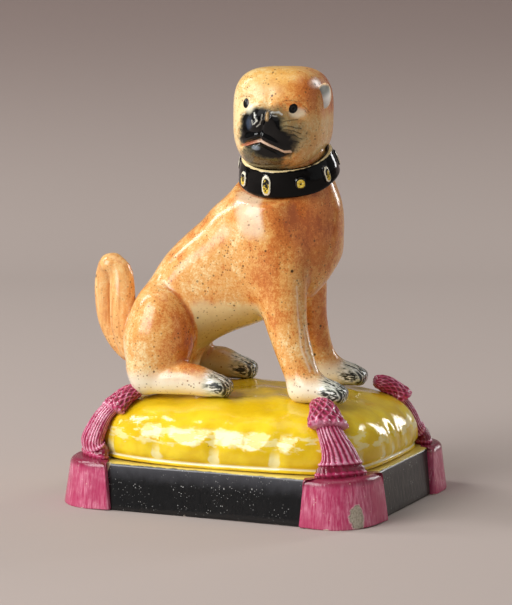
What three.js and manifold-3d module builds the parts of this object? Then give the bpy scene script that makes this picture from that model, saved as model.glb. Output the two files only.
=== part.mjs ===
// Pearlware figure of a seated pug on a tasselled cushion and plinth.
// Millimetres, +Z up. The origin is the centre of the plinth's underside, the long side of
// the plinth lies along X and the dog looks out over its long side, towards -Y.

import * as THREE from 'three';
import { ParametricGeometry } from 'three/addons/geometries/ParametricGeometry.js';
import { mergeVertices } from 'three/addons/utils/BufferGeometryUtils.js';
import Module from 'manifold-3d';

const wasm = await Module();
wasm.setup();

// Gap that touching pieces keep, and the size of the slivers that a cut may leave
const CLEARANCE = 0.3;
const CUT_TOLERANCE = 0.03;

// Plinth: a hollow press-moulded frame whose sides lean out towards the foot
const PLINTH_LENGTH = 86;
const PLINTH_WIDTH = 71;
const PLINTH_HEIGHT = 12.8;
const PLINTH_CORNER_RADIUS = 10;
const PLINTH_WALL = 6;
const CAVITY_CORNER_RADIUS = 16;
const SIDE_DRAFT = 1.8;
const EDGE_ROUNDING = 0.5;

// Corner blocks: quarter-round pilasters that stand proud of the plinth's panels
const BLOCK_PROUD = 1.5;
const BLOCK_CORNER_RADIUS = 11.5;
const BLOCK_RUN_LONG_SIDE = 16.5;
const BLOCK_RUN_SHORT_SIDE = 18.9;
const BLOCK_DEPTH = 4;
const BLOCK_RIM = 0.7;

// Cushion: a crowned shell with drawn-in sides, open underneath
const CUSHION_INSET = 1.2;
const CUSHION_CROWN = 18;
const CUSHION_WALL = 5.5;
const CUSHION_SQUARENESS = 3.6;
const CUSHION_FULLNESS = 3.4;
const CUSHION_DRAW_IN = 1.4;
const GATHER_DEPTH = 0.45;
const GATHERS = 16;

// Tassels: a netted knot over a pleated skirt, lying down each corner of the cushion
const SKIRT_FOOT_WIDTH = 12.6;
const SKIRT_WAIST_WIDTH = 6.8;
const KNOT_WIDTH = 10.6;
const KNOT_TOP_WIDTH = 6;
const TASSEL_THICKNESS = 5;
const TASSEL_INSET = 8.1;
const KNOT_REACH = 9.4;
const SKIRT_LAY_START = 4;
const SKIRT_LAY_END = 13;
const PLEATS = 7;
const PLEAT_DEPTH = 0.32;

// Dog: it stands on the cushion turned a little from the plinth's long axis
const DOG_YAW = 7;
const DOG_SIDE_OFFSET = -0.9;

// Trunk: rump, barrel and chest in one, a fold of the flank under it, and the neck, which
// leans towards the right and comes down wide into the shoulders
const RUMP_X = -26.2;
const RUMP_RADIUS = 14.6;
const CHEST_X = 5.2;
const CHEST_HEIGHT = 73.2;
const CHEST_DEPTH = 34;
const TRUNK_WIDTH = 29.6;
const FLANK_WIDTH = 19.6;
const FLANK_THICKNESS = 14;
const NECK_RADIUS = 11.2;
const NECK_X = 8.2;
const NECK_TOP = 99;
const NECK_LEAN = 0.18;

// Collar: a flared strap, tilted down towards the throat, with bosses set round it
const COLLAR_HEIGHT = 7.4;
const COLLAR_TOP_RADIUS = 12.7;
const COLLAR_FOOT_RADIUS = 14;
const COLLAR_CENTRE_Z = 93.6;
const COLLAR_TILT = 22;
const COLLAR_ROLL = 1;
const STUDS = 9;
const STUD_WIDTH = 2.6;
const STUD_HEIGHT = 5;
const STUD_THICKNESS = 1.6;
const FIRST_STUD_ANGLE = -98;

// Head, turned square to the right, with its muzzle, eyes and ears
const HEAD_CENTRE_X = 7.5;
const HEAD_CENTRE_Z = 106.2;
const HEAD_WIDTH = 25.8;
const HEAD_LENGTH = 27.4;
const HEAD_HEIGHT = 27.6;
const HEAD_SQUARENESS = 3.1;
const JAW_TAPER = 0.1;
const JAW_TAPER_START = 5;
const CHIN_DROP = 2.6;
const CHIN_WIDTH = 15;
const FACE_ROLL = 5;
const MUZZLE_DROP = 4;
const MUZZLE_WIDTH = 16.8;
const MUZZLE_REACH = 4.2;
const NOSE_RISE = 4.6;
const NOSTRIL_SPACING = 4.2;
const NOSTRIL_BULGE = 1.2;
const MOUTH_DROP = 3.4;
const MOUTH_WIDTH = 15;
const MOUTH_DEPTH = 0.9;
const EYE_SPACING = 13;
const EYE_HEIGHT = 3.7;
const EYE_SOCKET = 0.9;
const EAR_LENGTH = 8.6;
const EAR_WIDTH = 6.4;
const EAR_THICKNESS = 2.4;
const EAR_HEIGHT = 6.4;
const EAR_SET_BACK = 90;
const EAR_HOLLOW = 0.8;
const EAR_SUNK = 1.7;

// Forelegs
const FORELEG_SPREAD = 16;
const FORELEG_X = 12;
const FORELEG_THICKNESS = 10;
const SHOULDER_HEIGHT = 82;
const FOREPAW_LENGTH = 14.6;
const FOREPAW_WIDTH = 9.6;
const FOREPAW_HEIGHT = 7.4;

// The left feet stand this much further back than the right ones
const LEFT_FEET_BACK = 2.8;

// Level of the cushion under the feet
const STANDING_LEVEL = 31;

// Hind legs
const HINDLEG_SPREAD = 16.6;
const THIGH_X = -23.2;
const THIGH_Z = 46.5;
const THIGH_LENGTH = 22.6;
const THIGH_WIDTH = 17;
const THIGH_HEIGHT = 28;
const HIND_FOOT_LENGTH = 29;
const HIND_FOOT_WIDTH = 9.4;
const HIND_FOOT_HEIGHT = 8.2;
const HEEL_X = -31.6;
const HOCK_WIDTH = 9;
const HOCK_HEIGHT = 10;

// Toes of all four feet
const TOES = 4;
const TOE_WIDTH = 2.9;
const TOE_LENGTH = 5.2;

// Tail: one strand that climbs from the rump, turns over and comes down beside itself
const TAIL_THICKNESS = 6.9;
const TAIL_ROOT_HEIGHT = 41;
const TAIL_TOP_HEIGHT = 68.2;
const TAIL_REAR_X = -46.8;
const TAIL_LOOP_WIDTH = 10.6;

const COLOURS = {
  black: 0x17151a,
  yellow: 0xf2cf1c,
  puce: 0xb04a7c,
  cream: 0xf6dcae,
  fawn: 0xe6a263,
};

// Geometry helpers

const radians = THREE.MathUtils.degToRad;

function glaze(colour) {
  return new THREE.MeshStandardMaterial({ color: colour, roughness: 0.22, metalness: 0 });
}

// Keeps positions alone, joins equal corners and drops the triangles that collapse at a pole
function closed(geometry) {
  const bare = new THREE.BufferGeometry();
  bare.setAttribute('position', geometry.getAttribute('position').clone());
  bare.setIndex(geometry.index ? geometry.index.clone() : null);
  const merged = mergeVertices(bare, 1e-4);
  const corners = merged.index.array;
  const kept = [];
  for (let i = 0; i < corners.length; i += 3) {
    const [a, b, c] = [corners[i], corners[i + 1], corners[i + 2]];
    if (a !== b && b !== c && c !== a) kept.push(a, b, c);
  }
  merged.setIndex(kept);
  return merged;
}

// Turns every face round where the signed volume says that the surface is inside out
function outward(geometry) {
  const position = geometry.getAttribute('position');
  const index = Array.from(geometry.index.array);
  const [a, b, c] = [new THREE.Vector3(), new THREE.Vector3(), new THREE.Vector3()];
  let volume = 0;
  for (let i = 0; i < index.length; i += 3) {
    a.fromBufferAttribute(position, index[i]);
    b.fromBufferAttribute(position, index[i + 1]);
    c.fromBufferAttribute(position, index[i + 2]);
    volume += a.dot(b.cross(c));
  }
  if (volume < 0) {
    for (let i = 0; i < index.length; i += 3) {
      [index[i + 1], index[i + 2]] = [index[i + 2], index[i + 1]];
    }
    geometry.setIndex(index);
  }
  return geometry;
}

// The same surface moved out along its own normals
function grown(geometry, distance) {
  const bigger = geometry.clone();
  bigger.computeVertexNormals();
  const position = bigger.getAttribute('position');
  const normal = bigger.getAttribute('normal');
  for (let i = 0; i < position.count; i++) {
    position.setXYZ(
      i,
      position.getX(i) + normal.getX(i) * distance,
      position.getY(i) + normal.getY(i) * distance,
      position.getZ(i) + normal.getZ(i) * distance
    );
  }
  bigger.deleteAttribute('normal');
  return bigger;
}

// A surface that is closed round u and comes to a pole at v = 0 and at v = 1
function closedSurface(slices, stacks, point) {
  const wrapped = (u, v, target) => point(u === 1 ? 0 : u, v, target);
  return outward(closed(new ParametricGeometry(wrapped, slices, stacks)));
}

// Half an ellipse over the first and last share of the length, 1 in between
function roundedEnds(v, share) {
  const fromEnd = Math.min(v, 1 - v) / share;
  return fromEnd >= 1 ? 1 : Math.sqrt(Math.max(0, 1 - (1 - fromEnd) ** 2));
}

// Crowds the steps towards both ends, where a limb rounds over
function easedSteps(v, strength) {
  return v - (strength * Math.sin(2 * Math.PI * v)) / (2 * Math.PI);
}

// A limb: oval sections square to a smooth path, closed by a rounded end at each end.
// A station is [x, y, z, width, thickness], and width lies along the direction "across".
function limb(stations, options) {
  const { slices = 16, stacks = 12, ends = 0.2, across = new THREE.Vector3(0, 1, 0) } = options;
  const farEnd = options.farEnd ?? ends;
  const flute = options.flute ?? (() => 0);
  const path = new THREE.CatmullRomCurve3(stations.map((s) => new THREE.Vector3(s[0], s[1], s[2])));
  const sizes = new THREE.CatmullRomCurve3(stations.map((s) => new THREE.Vector3(s[3], s[4], 0)));
  return closedSurface(slices, stacks, (u, v, target) => {
    const along = easedSteps(v, 0.75);
    const tangent = path.getTangent(along);
    const side = across.clone().addScaledVector(tangent, -across.dot(tangent)).normalize();
    const lift = new THREE.Vector3().crossVectors(tangent, side);
    const size = sizes.getPoint(along);
    const angle = 2 * Math.PI * u;
    const full = roundedEnds(along, along < 0.5 ? ends : farEnd);
    const radial = flute(angle, along);
    target.copy(path.getPoint(along));
    target.addScaledVector(side, full * Math.cos(angle) * (size.x / 2 + radial));
    target.addScaledVector(lift, full * Math.sin(angle) * (size.y / 2 + radial));
  });
}

// A plain egg, used for thighs and toes
function egg(centre, size, slices, stacks) {
  const ball = new THREE.SphereGeometry(0.5, slices, stacks);
  ball.scale(size.x, size.y, size.z);
  ball.translate(centre.x, centre.y, centre.z);
  return outward(closed(ball));
}

function solid(geometry) {
  return new wasm.Manifold(
    new wasm.Mesh({
      numProp: 3,
      vertProperties: Float32Array.from(geometry.getAttribute('position').array),
      triVerts: Uint32Array.from(geometry.index.array),
    })
  );
}

function joined(geometries) {
  return geometries.map(solid).reduce((whole, next) => whole.add(next));
}

// Edges shorter than the tolerance are left behind by the cuts and are closed up
function cutBy(whole, geometries) {
  const rest = geometries.map(solid).reduce((left, cutter) => left.subtract(cutter), whole);
  return rest.simplify(CUT_TOLERANCE);
}

function mesh(name, shape, colour) {
  const { vertProperties, triVerts } = shape.getMesh();
  const geometry = new THREE.BufferGeometry();
  geometry.setAttribute('position', new THREE.BufferAttribute(Float32Array.from(vertProperties), 3));
  geometry.setIndex(Array.from(triVerts));
  const flat = geometry.toNonIndexed();
  flat.computeVertexNormals();
  const piece = new THREE.Mesh(flat, glaze(colour));
  piece.name = name;
  return piece;
}

// Leans the sides out towards the foot, the draft that lets the moulded base leave its mould
function drafted(geometry) {
  const position = geometry.getAttribute('position');
  for (let i = 0; i < position.count; i++) {
    const lean = SIDE_DRAFT * (1 - position.getZ(i) / PLINTH_HEIGHT);
    position.setX(i, position.getX(i) + Math.sign(position.getX(i)) * lean);
    position.setY(i, position.getY(i) + Math.sign(position.getY(i)) * lean);
  }
  return geometry;
}

function roundedRectangle(path, length, width, radius) {
  const [x, y] = [length / 2 - radius, width / 2 - radius];
  path.absarc(x, y, radius, 0, Math.PI / 2);
  path.absarc(-x, y, radius, Math.PI / 2, Math.PI);
  path.absarc(-x, -y, radius, Math.PI, 1.5 * Math.PI);
  path.absarc(x, -y, radius, 1.5 * Math.PI, 2 * Math.PI);
  path.closePath();
  return path;
}

// A mirror image across the planes given by signs, with its faces still outwards
function mirrored(geometry, signX, signY) {
  const image = geometry.clone();
  image.scale(signX, signY, 1);
  return outward(image);
}

// Base

// Each tassel was laid on by hand: its middle slips in or out a little along the corner, and
// its knot lies a little aside
const CORNERS = [
  { place: 'front_right', signX: 1, signY: -1, slip: 0, aside: -1.7 },
  { place: 'front_left', signX: -1, signY: -1, slip: -0.9, aside: 0.6 },
  { place: 'back_right', signX: 1, signY: 1, slip: 1, aside: 0.4 },
  { place: 'back_left', signX: -1, signY: 1, slip: 0, aside: -0.5 },
];

const blockOuterX = PLINTH_LENGTH / 2 + BLOCK_PROUD;
const blockOuterY = PLINTH_WIDTH / 2 + BLOCK_PROUD;

function extruded(shape, bottom, top, bevel, curveSegments) {
  const geometry = new THREE.ExtrudeGeometry(shape, {
    depth: top - bottom - 2 * bevel,
    bevelEnabled: bevel > 0,
    bevelThickness: bevel,
    bevelSize: bevel,
    bevelOffset: -bevel,
    bevelSegments: 1,
    curveSegments,
  });
  geometry.translate(0, 0, bottom + bevel);
  return outward(drafted(closed(geometry)));
}

// Plan of one corner block: rounded outside, and cut off inside along the straight side that
// the tassel's foot stands over. "slack" widens every face that meets the plinth.
function blockPlan(slack) {
  const innerX = blockOuterX - BLOCK_DEPTH - slack;
  const innerY = blockOuterY - BLOCK_DEPTH - slack;
  const endX = blockOuterX - BLOCK_RUN_LONG_SIDE - slack;
  const endY = blockOuterY - BLOCK_RUN_SHORT_SIDE - slack;
  const radius = BLOCK_CORNER_RADIUS;
  const shape = new THREE.Shape();
  shape.moveTo(innerX, endY);
  shape.lineTo(blockOuterX, endY);
  shape.absarc(blockOuterX - radius, blockOuterY - radius, radius, 0, Math.PI / 2);
  shape.lineTo(endX, blockOuterY);
  shape.lineTo(endX, innerY);
  return shape;
}

function cornerBlock({ signX, signY }) {
  return mirrored(extruded(blockPlan(0), 0, PLINTH_HEIGHT, BLOCK_RIM, 6), signX, signY);
}

function cornerNotch({ signX, signY }) {
  const notch = extruded(blockPlan(CLEARANCE), -1, PLINTH_HEIGHT + 1, 0, 6);
  return mirrored(notch, signX, signY);
}

function plinth() {
  const shape = roundedRectangle(new THREE.Shape(), PLINTH_LENGTH, PLINTH_WIDTH, PLINTH_CORNER_RADIUS);
  const cavityLength = PLINTH_LENGTH - 2 * PLINTH_WALL;
  const cavityWidth = PLINTH_WIDTH - 2 * PLINTH_WALL;
  shape.holes.push(roundedRectangle(new THREE.Path(), cavityLength, cavityWidth, CAVITY_CORNER_RADIUS));
  const frame = extruded(shape, 0, PLINTH_HEIGHT, EDGE_ROUNDING, 5);
  return cutBy(solid(frame), CORNERS.map(cornerNotch));
}

const cushionFoot = PLINTH_HEIGHT + CLEARANCE;

// Distance from the axis to a squared oval, in the direction of an angle
function squaredOval(angle, halfLength, halfWidth, power) {
  const x = Math.abs(Math.cos(angle)) / halfLength;
  const y = Math.abs(Math.sin(angle)) / halfWidth;
  return 1 / (x ** power + y ** power) ** (1 / power);
}

// Share of the cushion's plan that is left at a share of its height: full and steep at the
// side, drawn in at the seam where it meets the plinth, and nearly flat on top
function cushionShare(height) {
  return (1 - height ** CUSHION_FULLNESS) ** (1 / CUSHION_FULLNESS);
}

// The outer face runs from the crown down to the foot, turns under along the rim and goes
// back up inside to the crown of the hollow
function cushionSurface() {
  const outerRings = 9;
  const innerRings = 5;
  const rings = outerRings + 1 + innerRings;
  const halfLength = PLINTH_LENGTH / 2 - CUSHION_INSET;
  const halfWidth = PLINTH_WIDTH / 2 - CUSHION_INSET;
  return closedSurface(3 * GATHERS, rings, (u, v, target) => {
    const angle = 2 * Math.PI * u;
    const ring = Math.round(v * rings);
    const outside = ring <= outerRings;
    const climb = outside ? 1 - ring / outerRings : (ring - outerRings - 1) / innerRings;
    const rise = Math.sin((climb * Math.PI) / 2);
    const wall = outside ? 0 : CUSHION_WALL;
    const oval = squaredOval(angle, halfLength - wall, halfWidth - wall, CUSHION_SQUARENESS);
    const seam = outside ? CUSHION_DRAW_IN * Math.exp(-((rise / 0.16) ** 2)) : 0;
    const gather = outside ? GATHER_DEPTH * Math.cos(GATHERS * angle) * Math.exp(-(((rise - 0.3) / 0.25) ** 2)) : 0;
    const reach = oval * cushionShare(climb === 1 ? 1 : rise) - seam - gather;
    const radius = climb === 1 ? 0 : reach;
    target.set(
      radius * Math.cos(angle),
      radius * Math.sin(angle),
      cushionFoot + rise * (CUSHION_CROWN - wall)
    );
  });
}

// Stations of a tassel are measured in from the block's outer corner along both sides, and
// move aside from the foot of the skirt up to its waist
function tasselStations({ signX, signY, aside }, rows) {
  return rows.map(([inset, z, width, thickness]) => {
    const climb = THREE.MathUtils.smoothstep(z - cushionFoot, SKIRT_LAY_START, SKIRT_LAY_END);
    const shift = (aside * climb) / Math.SQRT2;
    return [
      signX * (blockOuterX - inset) - signY * shift,
      signY * (blockOuterY - inset) + signX * shift,
      z,
      width,
      thickness,
    ];
  });
}

function tasselSkirt(corner) {
  const across = new THREE.Vector3(-corner.signY, corner.signX, 0).normalize();
  const middle = TASSEL_INSET + corner.slip;
  const rows = [
    [TASSEL_INSET, cushionFoot - 2.5, SKIRT_FOOT_WIDTH, TASSEL_THICKNESS + 0.6],
    [TASSEL_INSET, cushionFoot + 1, SKIRT_FOOT_WIDTH, TASSEL_THICKNESS + 0.4],
    [middle + 0.2, cushionFoot + 4, SKIRT_FOOT_WIDTH * 0.82, TASSEL_THICKNESS],
    [middle + 1.2, cushionFoot + 8, SKIRT_FOOT_WIDTH * 0.66, TASSEL_THICKNESS - 0.4],
    [middle + 2.7, cushionFoot + 11.5, SKIRT_WAIST_WIDTH, TASSEL_THICKNESS - 0.8],
    [middle + 5, cushionFoot + 14.6, SKIRT_WAIST_WIDTH, TASSEL_THICKNESS - 1],
  ];
  const pleat = (angle, along) => PLEAT_DEPTH * Math.cos(2 * PLEATS * angle) * (1 - along);
  return limb(tasselStations(corner, rows), { slices: 4 * PLEATS, stacks: 6, ends: 0.12, across, flute: pleat });
}

function tasselKnot(corner) {
  const across = new THREE.Vector3(-corner.signY, corner.signX, 0).normalize();
  const middle = TASSEL_INSET + corner.slip;
  const rows = [
    [middle + 2.6, cushionFoot + 11.2, KNOT_WIDTH, TASSEL_THICKNESS],
    [middle + 3.8, cushionFoot + 13.4, KNOT_WIDTH, TASSEL_THICKNESS + 0.2],
    [middle + 6, cushionFoot + 15.9, KNOT_WIDTH * 0.84, TASSEL_THICKNESS],
    [TASSEL_INSET + KNOT_REACH, cushionFoot + 17.2, KNOT_TOP_WIDTH, TASSEL_THICKNESS - 0.8],
  ];
  return limb(tasselStations(corner, rows), { slices: 12, stacks: 6, ends: 0.3, across });
}

// Dog, in its own frame: +X is its heading and +Y its left

const dog = new THREE.Group();
dog.position.set(0, DOG_SIDE_OFFSET, 0);
dog.rotation.z = radians(DOG_YAW);
dog.updateMatrixWorld(true);

function inDogFrame(geometry) {
  return geometry.clone().applyMatrix4(dog.matrixWorld.clone().invert());
}

function inBaseFrame(geometry) {
  return geometry.clone().applyMatrix4(dog.matrixWorld);
}

function trunkSurfaces() {
  const barrel = limb(
    [
      [RUMP_X, 0, STANDING_LEVEL - 3.5, 2 * RUMP_RADIUS - 4, 2 * RUMP_RADIUS - 8.6],
      [RUMP_X + 0.8, 0, STANDING_LEVEL + 12, 2 * RUMP_RADIUS, 2 * RUMP_RADIUS - 6],
      [RUMP_X + 9.2, 0, STANDING_LEVEL + 26.8, TRUNK_WIDTH * 0.91, CHEST_DEPTH * 0.74],
      [RUMP_X + 22.4, 0, CHEST_HEIGHT - 7.5, TRUNK_WIDTH * 0.99, CHEST_DEPTH * 0.98],
      [CHEST_X, 0, CHEST_HEIGHT, TRUNK_WIDTH, CHEST_DEPTH],
      [CHEST_X + 9.6, 0, CHEST_HEIGHT + 7.6, TRUNK_WIDTH * 0.99, CHEST_DEPTH * 0.98],
    ],
    { slices: 22, stacks: 14, ends: 0.07, farEnd: 0.19 }
  );
  const neckStation = (x, z, width, thickness) => [x, NECK_LEAN * (NECK_TOP - 6 - z), z, width, thickness];
  const neck = limb(
    [
      neckStation(NECK_X, CHEST_HEIGHT - 8, 2 * NECK_RADIUS + 4.2, 2 * NECK_RADIUS + 6.2),
      neckStation(NECK_X + 0.6, CHEST_HEIGHT - 1.2, 2 * NECK_RADIUS + 4.6, 2 * NECK_RADIUS + 6.6),
      neckStation(NECK_X + 1.3, CHEST_HEIGHT + 6.4, 2 * NECK_RADIUS + 4.2, 2 * NECK_RADIUS + 5.8),
      neckStation(NECK_X + 1, NECK_TOP - 13.4, 2 * NECK_RADIUS + 2.4, 2 * NECK_RADIUS + 2.8),
      neckStation(NECK_X + 0.6, NECK_TOP - 8, 2 * NECK_RADIUS + 0.8, 2 * NECK_RADIUS + 0.8),
      neckStation(NECK_X, NECK_TOP, 2 * NECK_RADIUS, 2 * NECK_RADIUS),
    ],
    { slices: 20, stacks: 9, ends: 0.18, farEnd: 0.1 }
  );
  const flank = limb(
    [
      [RUMP_X + 1.2, 0, STANDING_LEVEL + 16, FLANK_WIDTH, FLANK_THICKNESS],
      [RUMP_X + 14.2, 0, STANDING_LEVEL + 20.4, FLANK_WIDTH * 0.97, FLANK_THICKNESS],
      [RUMP_X + 24.2, 0, STANDING_LEVEL + 25, FLANK_WIDTH * 0.92, FLANK_THICKNESS],
      [RUMP_X + 36.2, 0, STANDING_LEVEL + 31, FLANK_WIDTH * 0.8, FLANK_THICKNESS * 0.84],
    ],
    { slices: 12, stacks: 7, ends: 0.2 }
  );
  return [barrel, neck, flank];
}

// The collar stands square to the neck's own lean: down at the throat, up at the nape
function onCollar(geometry) {
  geometry.rotateX(radians(COLLAR_TILT));
  geometry.rotateY(radians(-COLLAR_ROLL));
  geometry.translate(NECK_X + 0.4, 0, COLLAR_CENTRE_Z);
  return outward(closed(geometry));
}

function collarSurface(slack) {
  const half = COLLAR_HEIGHT / 2 + slack;
  const bore = NECK_RADIUS + 0.5 - slack;
  const belly = (COLLAR_TOP_RADIUS + COLLAR_FOOT_RADIUS) / 2 + 0.25;
  const profile = [
    new THREE.Vector2(bore, -half),
    new THREE.Vector2(COLLAR_FOOT_RADIUS - 0.5 + slack, -half),
    new THREE.Vector2(COLLAR_FOOT_RADIUS + slack, -half + 0.6),
    new THREE.Vector2(belly + slack, 0),
    new THREE.Vector2(COLLAR_TOP_RADIUS + slack, half - 0.6),
    new THREE.Vector2(COLLAR_TOP_RADIUS - 0.5 + slack, half),
    new THREE.Vector2(bore, half),
    new THREE.Vector2(bore, -half),
  ];
  const ring = new THREE.LatheGeometry(profile, 28);
  ring.rotateX(Math.PI / 2);
  return onCollar(ring);
}

// The room under the head that the collar and the neck in it fill
function collarRoom() {
  const top = COLLAR_HEIGHT / 2 + CLEARANCE;
  const room = new THREE.CylinderGeometry(
    COLLAR_FOOT_RADIUS + CLEARANCE,
    COLLAR_FOOT_RADIUS + CLEARANCE,
    3 * COLLAR_HEIGHT,
    28
  );
  room.rotateX(Math.PI / 2);
  room.translate(0, 0, top - 1.5 * COLLAR_HEIGHT);
  return onCollar(room);
}

function studSurface(number) {
  const angle = radians(FIRST_STUD_ANGLE + (number * 360) / STUDS);
  const boss = egg(new THREE.Vector3(), new THREE.Vector3(STUD_THICKNESS, STUD_WIDTH, STUD_HEIGHT), 8, 4);
  boss.translate((COLLAR_TOP_RADIUS + COLLAR_FOOT_RADIUS) / 2 + 0.45, 0, 0);
  boss.rotateZ(angle);
  return onCollar(boss);
}

function bump(x, y, radius) {
  return Math.exp(-((x * x + y * y) / (radius * radius)));
}

// How far the face stands out, by the place on it seen from the front: "across" runs to the
// dog's left and "up" towards its crown
function faceRelief(across, up) {
  const muzzleUp = up + MUZZLE_DROP;
  const muzzleRadius = MUZZLE_WIDTH / 2;
  const muzzle = MUZZLE_REACH * Math.exp(-(((across ** 2 + muzzleUp ** 2) / muzzleRadius ** 2) ** 1.6));
  const noseUp = muzzleUp - NOSE_RISE;
  const nostrils =
    bump(across - NOSTRIL_SPACING / 2, noseUp, 2.1) + bump(across + NOSTRIL_SPACING / 2, noseUp, 2.1);
  const lip = Math.abs(across) < MOUTH_WIDTH / 2 ? Math.cos((Math.PI * across) / MOUTH_WIDTH) : 0;
  const belowMouth = muzzleUp + MOUTH_DROP - 1.6 * lip;
  const mouth = Math.sqrt(lip) * Math.exp(-((belowMouth / 0.9) ** 2));
  const sockets =
    bump(across - EYE_SPACING / 2, up - EYE_HEIGHT, 2.4) + bump(across + EYE_SPACING / 2, up - EYE_HEIGHT, 2.4);
  return muzzle + NOSTRIL_BULGE * nostrils - MOUTH_DEPTH * mouth - EYE_SOCKET * sockets;
}

// A squared ball with the relief of the face added on its front half
function headSurface() {
  const [halfWidth, halfLength, halfHeight] = [HEAD_WIDTH / 2, HEAD_LENGTH / 2, HEAD_HEIGHT / 2];
  const roll = radians(FACE_ROLL);
  return closedSurface(40, 22, (u, v, target) => {
    const round = 2 * Math.PI * u;
    const turn = round - 0.45 * Math.sin(round);
    const fall = Math.PI * v;
    const front = Math.sin(fall) * Math.cos(turn);
    const side = Math.sin(fall) * Math.sin(turn);
    const up = Math.cos(fall);
    const power = HEAD_SQUARENESS;
    const reach =
      1 /
      (Math.abs(side / halfWidth) ** power + Math.abs(front / halfLength) ** power + Math.abs(up / halfHeight) ** power) **
        (1 / power);
    const jaw = Math.max(0, (-reach * up - JAW_TAPER_START) / (halfHeight - JAW_TAPER_START));
    const place = { across: reach * side * (1 - JAW_TAPER * jaw), up: reach * up };
    const across = place.across * Math.cos(roll) - place.up * Math.sin(roll);
    const above = place.across * Math.sin(roll) + place.up * Math.cos(roll);
    const relief = front > 0 ? faceRelief(across, above) * Math.min(1, front / 0.35) : 0;
    const chin = CHIN_DROP * jaw * bump(place.across, halfLength - reach * front, CHIN_WIDTH);
    target.set(
      HEAD_CENTRE_X + place.across,
      -reach * front - relief,
      HEAD_CENTRE_Z + place.up - chin
    );
  });
}

// A small folded ear: a leaf that hugs the skull, hollowed on the side that faces forward
function earSurface(side) {
  const ear = closedSurface(10, 8, (u, v, target) => {
    const round = 2 * Math.PI * u;
    const along = Math.cos(Math.PI * v);
    const spread = Math.sin(Math.PI * v);
    const across = spread * Math.cos(round);
    const through = spread * Math.sin(round);
    const leaf = 1 - 0.3 * along;
    const hollow = through > 0 ? EAR_HOLLOW * (1 - across ** 2) * (1 - along ** 2) * Math.sqrt(through) : 0;
    target.set(
      (across * leaf * EAR_WIDTH) / 2,
      (-through * EAR_THICKNESS) / 2 + hollow,
      (along * EAR_LENGTH) / 2
    );
  });
  ear.rotateZ(radians(side * 25));
  ear.rotateY(radians(side * 12));
  const turn = radians(EAR_SET_BACK);
  ear.translate(
    HEAD_CENTRE_X + side * (HEAD_WIDTH / 2 - EAR_SUNK) * Math.sin(turn),
    (-HEAD_LENGTH / 2) * Math.cos(turn),
    HEAD_CENTRE_Z + EAR_HEIGHT
  );
  return outward(ear);
}

// Toes fan out across the end of a foot
function toes(tip, footWidth, side) {
  return Array.from({ length: TOES }, (_, number) => {
    const spread = (number + 0.5) / TOES - 0.5;
    const centre = new THREE.Vector3(
      tip.x - TOE_LENGTH * (0.35 + 1.4 * spread ** 2),
      tip.y + side * spread * footWidth,
      tip.z
    );
    return egg(centre, new THREE.Vector3(TOE_LENGTH, TOE_WIDTH, TOE_WIDTH + 1.6), 6, 5);
  });
}

function forelegSurfaces(side) {
  const y = side * FORELEG_SPREAD;
  const setBack = side > 0 ? LEFT_FEET_BACK : 0;
  const [x, thick] = [FORELEG_X, FORELEG_THICKNESS];
  const leg = limb(
    [
      [x - 6.2, y * 0.5, SHOULDER_HEIGHT, thick * 1.3, thick * 1.55],
      [x - 4.2, y * 0.55, SHOULDER_HEIGHT - 13, thick * 1.48, thick * 1.94],
      [x - 1.9, y * 0.65, SHOULDER_HEIGHT - 23, thick * 1.33, thick * 1.6],
      [x + 0.8 - 0.5 * setBack, y * 0.79, STANDING_LEVEL + 18.5, thick * 1.06, thick * 1.26],
      [x + 3.8 - setBack, y * 0.88, STANDING_LEVEL + 10.5, thick * 0.95, thick * 1.08],
      [x + 6 - 1.1 * setBack, y * 0.94, STANDING_LEVEL + 5, thick * 0.9, thick],
      [x + 7 - 1.1 * setBack, y * 0.96, STANDING_LEVEL, thick * 0.86, thick * 0.9],
    ],
    { slices: 12, stacks: 11, ends: 0.12 }
  );
  const heel = x + 2.4 - setBack;
  const paw = limb(
    [
      [heel, y * 0.95, STANDING_LEVEL + 2.4, FOREPAW_WIDTH * 0.8, FOREPAW_HEIGHT],
      [heel + FOREPAW_LENGTH * 0.35, y * 0.98, STANDING_LEVEL + 2.4, FOREPAW_WIDTH * 0.95, FOREPAW_HEIGHT],
      [heel + FOREPAW_LENGTH * 0.72, y, STANDING_LEVEL + 1.7, FOREPAW_WIDTH, FOREPAW_HEIGHT * 0.87],
      [heel + FOREPAW_LENGTH, y, STANDING_LEVEL + 0.8, FOREPAW_WIDTH * 0.9, FOREPAW_HEIGHT * 0.62],
    ],
    { slices: 12, stacks: 7, ends: 0.25 }
  );
  const tip = new THREE.Vector3(heel + FOREPAW_LENGTH + 0.8, y, STANDING_LEVEL + 1.2);
  return [leg, paw, ...toes(tip, FOREPAW_WIDTH, side)];
}

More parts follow.
